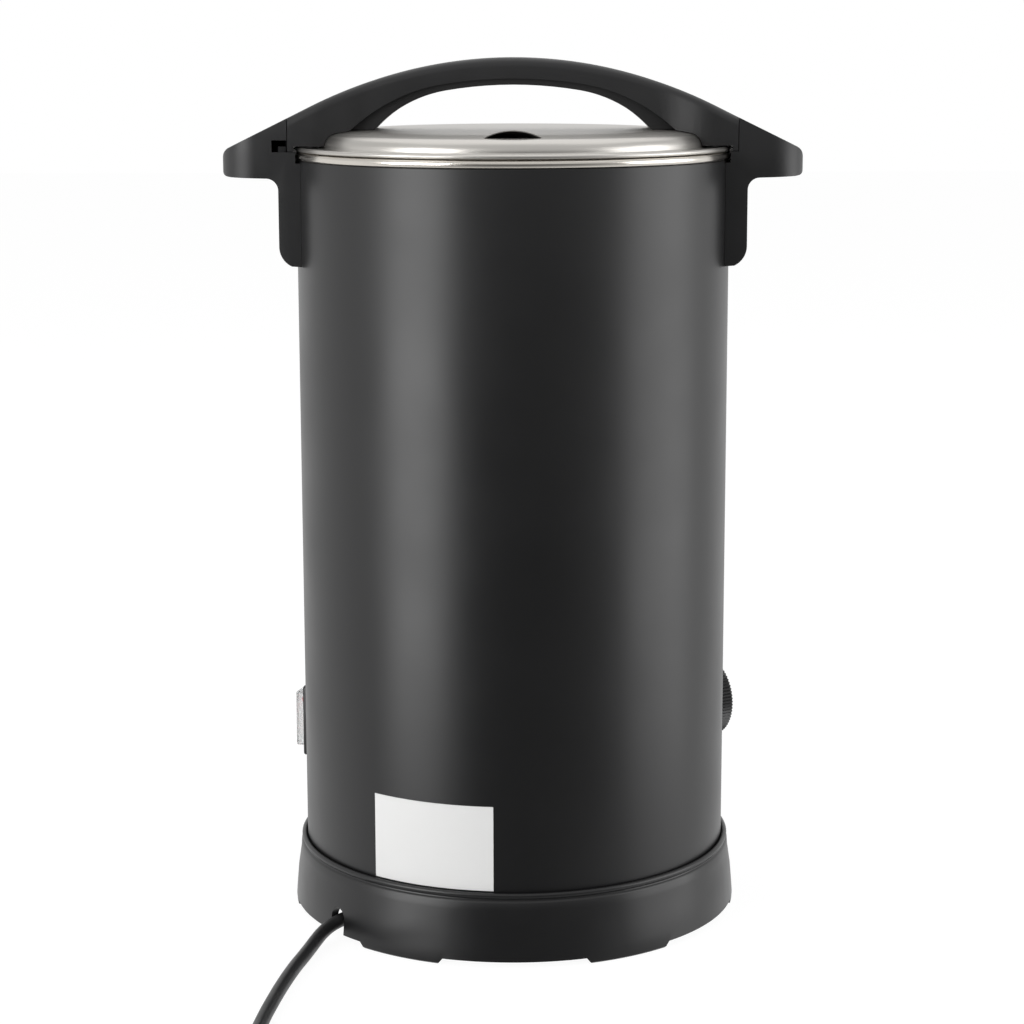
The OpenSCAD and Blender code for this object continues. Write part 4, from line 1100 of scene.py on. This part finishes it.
def camera_piece():
    """The camera: level with the handle's top, behind the melter, looking a little down."""
    # Pixels, degrees and metres fitted to the photograph's outline
    frame_px, focal_px, shift_px = 1024, 2529.7, -1.68
    pitch, roll = math.radians(10.71), -0.0022
    place = Vector((0, 1.0860, 0.3783))
    sensor_mm = 36
    forward = Vector((0, -math.cos(pitch), -math.sin(pitch)))
    right = Vector((-1, 0, 0))
    up = right.cross(forward)
    deselect()
    bpy.ops.object.camera_add(location=place)
    camera = bpy.context.object
    look = Matrix((right, up, -forward)).transposed().to_4x4()
    camera.matrix_world = Matrix.Translation(place) @ look @ Matrix.Rotation(roll, 4, "Z")
    camera.data.sensor_width = sensor_mm
    camera.data.lens = focal_px * sensor_mm / frame_px
    camera.data.shift_x = shift_px / frame_px
    camera.data.clip_start, camera.data.clip_end = 0.05, 50
    bpy.context.scene.camera = camera


def studio_world():
    """A white background over a soft fill, with a room of greys that only glossy rays see.

    The room is light at -Y and dark at +Y, the unlit side, and grey overhead.
    """
    world = bpy.data.worlds.new("studio")
    bpy.context.scene.world = world
    world.use_nodes = True
    tree = world.node_tree
    tree.nodes.clear()
    place = node(tree, "ShaderNodeTexCoord").outputs["Generated"]
    parts = node(tree, "ShaderNodeSeparateXYZ", {"Vector": place}).outputs
    ramp = node(tree, "ShaderNodeValToRGB", {"Fac": parts["Y"]})
    stops = ((0.0, 0.92), (0.35, 0.6), (0.7, 0.3), (0.95, 0.12))
    while len(ramp.color_ramp.elements) < len(stops):
        ramp.color_ramp.elements.new(0.5)
    for element, (at, value) in zip(ramp.color_ramp.elements, stops):
        element.position = at
        element.color = (value, value, value, 1)
    values = {"Value": parts["Z"], "From Min": 0.1, "From Max": 0.44, "To Min": 0.0, "To Max": 1.0}
    height = node(tree, "ShaderNodeMapRange", values, interpolation_type="SMOOTHSTEP")
    overhead = (0.72, 0.72, 0.72, 1)
    values = {"Factor": height.outputs["Result"], "A": ramp.outputs["Color"], "B": overhead}
    room = node(tree, "ShaderNodeMix", values, data_type="RGBA").outputs["Result"]
    rays = node(tree, "ShaderNodeLightPath").outputs
    white = (1, 1, 1, 1)
    direct = node(tree, "ShaderNodeBackground", {"Color": white, "Strength": 1.0}).outputs[0]
    glossy = node(tree, "ShaderNodeBackground", {"Color": room, "Strength": 1.0}).outputs[0]
    fill = node(tree, "ShaderNodeBackground", {"Color": white, "Strength": 0.4}).outputs[0]
    values = {0: rays["Is Glossy Ray"], 1: fill, 2: glossy}
    unseen = node(tree, "ShaderNodeMixShader", values).outputs[0]
    values = {0: rays["Is Camera Ray"], 1: rays["Is Transmission Ray"]}
    seen = node(tree, "ShaderNodeMath", values, operation="MAXIMUM").outputs[0]
    both = node(tree, "ShaderNodeMixShader", {0: seen, 1: unseen, 2: direct}).outputs[0]
    node(tree, "ShaderNodeOutputWorld", {"Surface": both})


def floor_piece():
    """A plain white floor that keeps a faint shadow and that glossy rays pass through."""
    brightness, own_light = 1.1, 0.85
    deselect()
    bpy.ops.mesh.primitive_plane_add(size=12, location=(0, 0, -0.2 * MM))
    floor = added("floor")
    material = bpy.data.materials.new("white_floor")
    material.use_nodes = True
    tree = material.node_tree
    tree.nodes.clear()
    matt = node(tree, "ShaderNodeBsdfDiffuse", {"Color": linear("#f4f4f4")}).outputs[0]
    values = {"Color": (1, 1, 1, 1), "Strength": brightness}
    lit = node(tree, "ShaderNodeEmission", values).outputs[0]
    rays = node(tree, "ShaderNodeLightPath").outputs
    values = {0: rays["Is Camera Ray"], 1: rays["Is Transmission Ray"]}
    seen = node(tree, "ShaderNodeMath", values, operation="MAXIMUM").outputs[0]
    share = node(tree, "ShaderNodeMath", {0: seen, 1: own_light}, operation="MULTIPLY").outputs[0]
    white = node(tree, "ShaderNodeMixShader", {0: share, 1: matt, 2: lit}).outputs[0]
    clear = node(tree, "ShaderNodeBsdfTransparent").outputs[0]
    values = {0: rays["Is Glossy Ray"], 1: white, 2: clear}
    both = node(tree, "ShaderNodeMixShader", values).outputs[0]
    node(tree, "ShaderNodeOutputMaterial", {"Surface": both})
    floor.data.materials.append(material)


# ---------- operators ----------


class MELTER_OT_stage(bpy.types.Operator):
    """Set up the camera, lamps, world and floor"""

    bl_idname = "melter.stage"
    bl_label = "Stage"

    def execute(self, context):
        context.scene.view_settings.view_transform = "Standard"
        camera_piece()
        studio_world()
        floor_piece()
        softbox("key", 51, 8, distance=1.7, size=(1.0, 1.5), energy=21)
        softbox("side", -82, 8, distance=1.9, size=(1.5, 1.7), energy=18)
        softbox("top", 180, 72, distance=1.6, size=(2.2, 1.8), energy=7)
        return {"FINISHED"}


class MELTER_OT_cord(bpy.types.Operator):
    """Lay the mains cord with its coil"""

    bl_idname = "melter.cord"
    bl_label = "Cord"

    def execute(self, context):
        sizes = context.scene.melter_sizes
        piece = cord_piece(sizes)
        piece.data.materials.append(FINISHES["cord"])
        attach(piece, BODY_OF["power_cord"])
        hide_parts("power_cord", "cord_coil", "cord_tail")
        return {"FINISHED"}


class MELTER_OT_shell(bpy.types.Operator):
    """Form the painted shell"""

    bl_idname = "melter.shell"
    bl_label = "Shell"

    def execute(self, context):
        finish(shell_piece(context.scene.melter_sizes), "outer_shell", FINISHES["paint"])
        return {"FINISHED"}


class MELTER_OT_pot(bpy.types.Operator):
    """Draw the pot's wall and roll its rim"""

    bl_idname = "melter.pot"
    bl_label = "Pot"

    def execute(self, context):
        finish(pot_piece(), "inner_pot", FINISHES["bright_steel"])
        return {"FINISHED"}


class MELTER_OT_base(bpy.types.Operator):
    """Mould the base ring with its feet and cord notch"""

    bl_idname = "melter.base"
    bl_label = "Base"

    def execute(self, context):
        finish(base_piece(context.scene.melter_sizes), "base_ring", FINISHES["base"])
        return {"FINISHED"}


class MELTER_OT_lid(bpy.types.Operator):
    """Spin the lid and press its louver"""

    bl_idname = "melter.lid"
    bl_label = "Lid"

    def execute(self, context):
        finish(lid_piece(context.scene.melter_sizes), "lid_plate", FINISHES["steel"])
        return {"FINISHED"}


class MELTER_OT_handle(bpy.types.Operator):
    """Mould the arched handle and its palm cover"""

    bl_idname = "melter.handle"
    bl_label = "Handle"

    def execute(self, context):
        sizes = context.scene.melter_sizes
        finish(handle_piece(sizes), "lid_handle", FINISHES["handle"])
        finish(cover_piece(sizes), "handle_cover", FINISHES["handle"])
        return {"FINISHED"}


class MELTER_OT_grips(bpy.types.Operator):
    """Mould the two side grips"""

    bl_idname = "melter.grips"
    bl_label = "Grips"

    def execute(self, context):
        sizes = context.scene.melter_sizes
        for name, turn in (("grip_left", 0), ("grip_right", math.pi)):
            finish(grip_piece(sizes, name + "_moulding", turn), name, FINISHES["handle"])
        return {"FINISHED"}


class MELTER_OT_controls(bpy.types.Operator):
    """Make the knob, the dial's print and the switch"""

    bl_idname = "melter.controls"
    bl_label = "Controls"

    def execute(self, context):
        finish(knob_piece(context.scene.melter_sizes), "knob", FINISHES["base"])
        finish(frame_piece(), "switch_frame", FINISHES["switch"])
        finish(cap_piece(), "switch_cap", FINISHES["clear"])
        finish(rocker_piece(), "rocker", FINISHES["rocker"])
        trim(dial_marks(), "dial_plate", FINISHES["ink"])
        return {"FINISHED"}


class MELTER_OT_spout(bpy.types.Operator):
    """Bend the tap's spout"""

    bl_idname = "melter.spout"
    bl_label = "Spout"

    def execute(self, context):
        finish(spout_piece(), "tap_spout", FINISHES["valve"])
        return {"FINISHED"}


class MELTER_OT_frame_finish(bpy.types.Operator):
    """Give the frame's own pieces their finishes"""

    bl_idname = "melter.frame_finish"
    bl_label = "Frame finishes"

    def execute(self, context):
        for name, item in frame["nodes"].items():
            item.data.materials.clear()
            item.data.materials.append(FINISHES[FINISH_OF_SLOT[SLOT_OF[name]]])
        return {"FINISHED"}


OPERATORS = (
    MELTER_OT_stage,
    MELTER_OT_frame_finish,
    MELTER_OT_cord,
    MELTER_OT_shell,
    MELTER_OT_pot,
    MELTER_OT_base,
    MELTER_OT_lid,
    MELTER_OT_handle,
    MELTER_OT_grips,
    MELTER_OT_controls,
    MELTER_OT_spout,
)


class MELTER_PT_panel(bpy.types.Panel):
    """Lists the melter's building steps"""

    bl_label = "Wax Melter"
    bl_space_type = "VIEW_3D"
    bl_region_type = "UI"
    bl_category = "Wax Melter"

    def draw(self, context):
        for operator in OPERATORS:
            self.layout.operator(operator.bl_idname)
        for group in (context.scene.melter_sizes, context.scene.melter_colours):
            for name in group.__annotations__:
                self.layout.prop(group, name)


CLASSES = (MelterSizes, MelterColours, *OPERATORS, MELTER_PT_panel)


def register():
    """Registers every class and gives the scene its sizes and colours."""
    for item in CLASSES:
        bpy.utils.register_class(item)
    bpy.types.Scene.melter_sizes = PointerProperty(type=MelterSizes)
    bpy.types.Scene.melter_colours = PointerProperty(type=MelterColours)


def unregister():
    """Takes away what register added."""
    del bpy.types.Scene.melter_colours
    del bpy.types.Scene.melter_sizes
    for item in reversed(CLASSES):
        bpy.utils.unregister_class(item)


def main():
    """Builds everything in order."""
    register()
    FINISHES.update(make_materials(bpy.context.scene.melter_colours))
    bpy.ops.melter.stage()
    bpy.ops.melter.frame_finish()
    bpy.ops.melter.cord()
    bpy.ops.melter.shell()
    bpy.ops.melter.pot()
    bpy.ops.melter.base()
    bpy.ops.melter.lid()
    bpy.ops.melter.handle()
    bpy.ops.melter.grips()
    bpy.ops.melter.controls()
    bpy.ops.melter.spout()
    deselect()


if __name__ == "__main__":
    main()
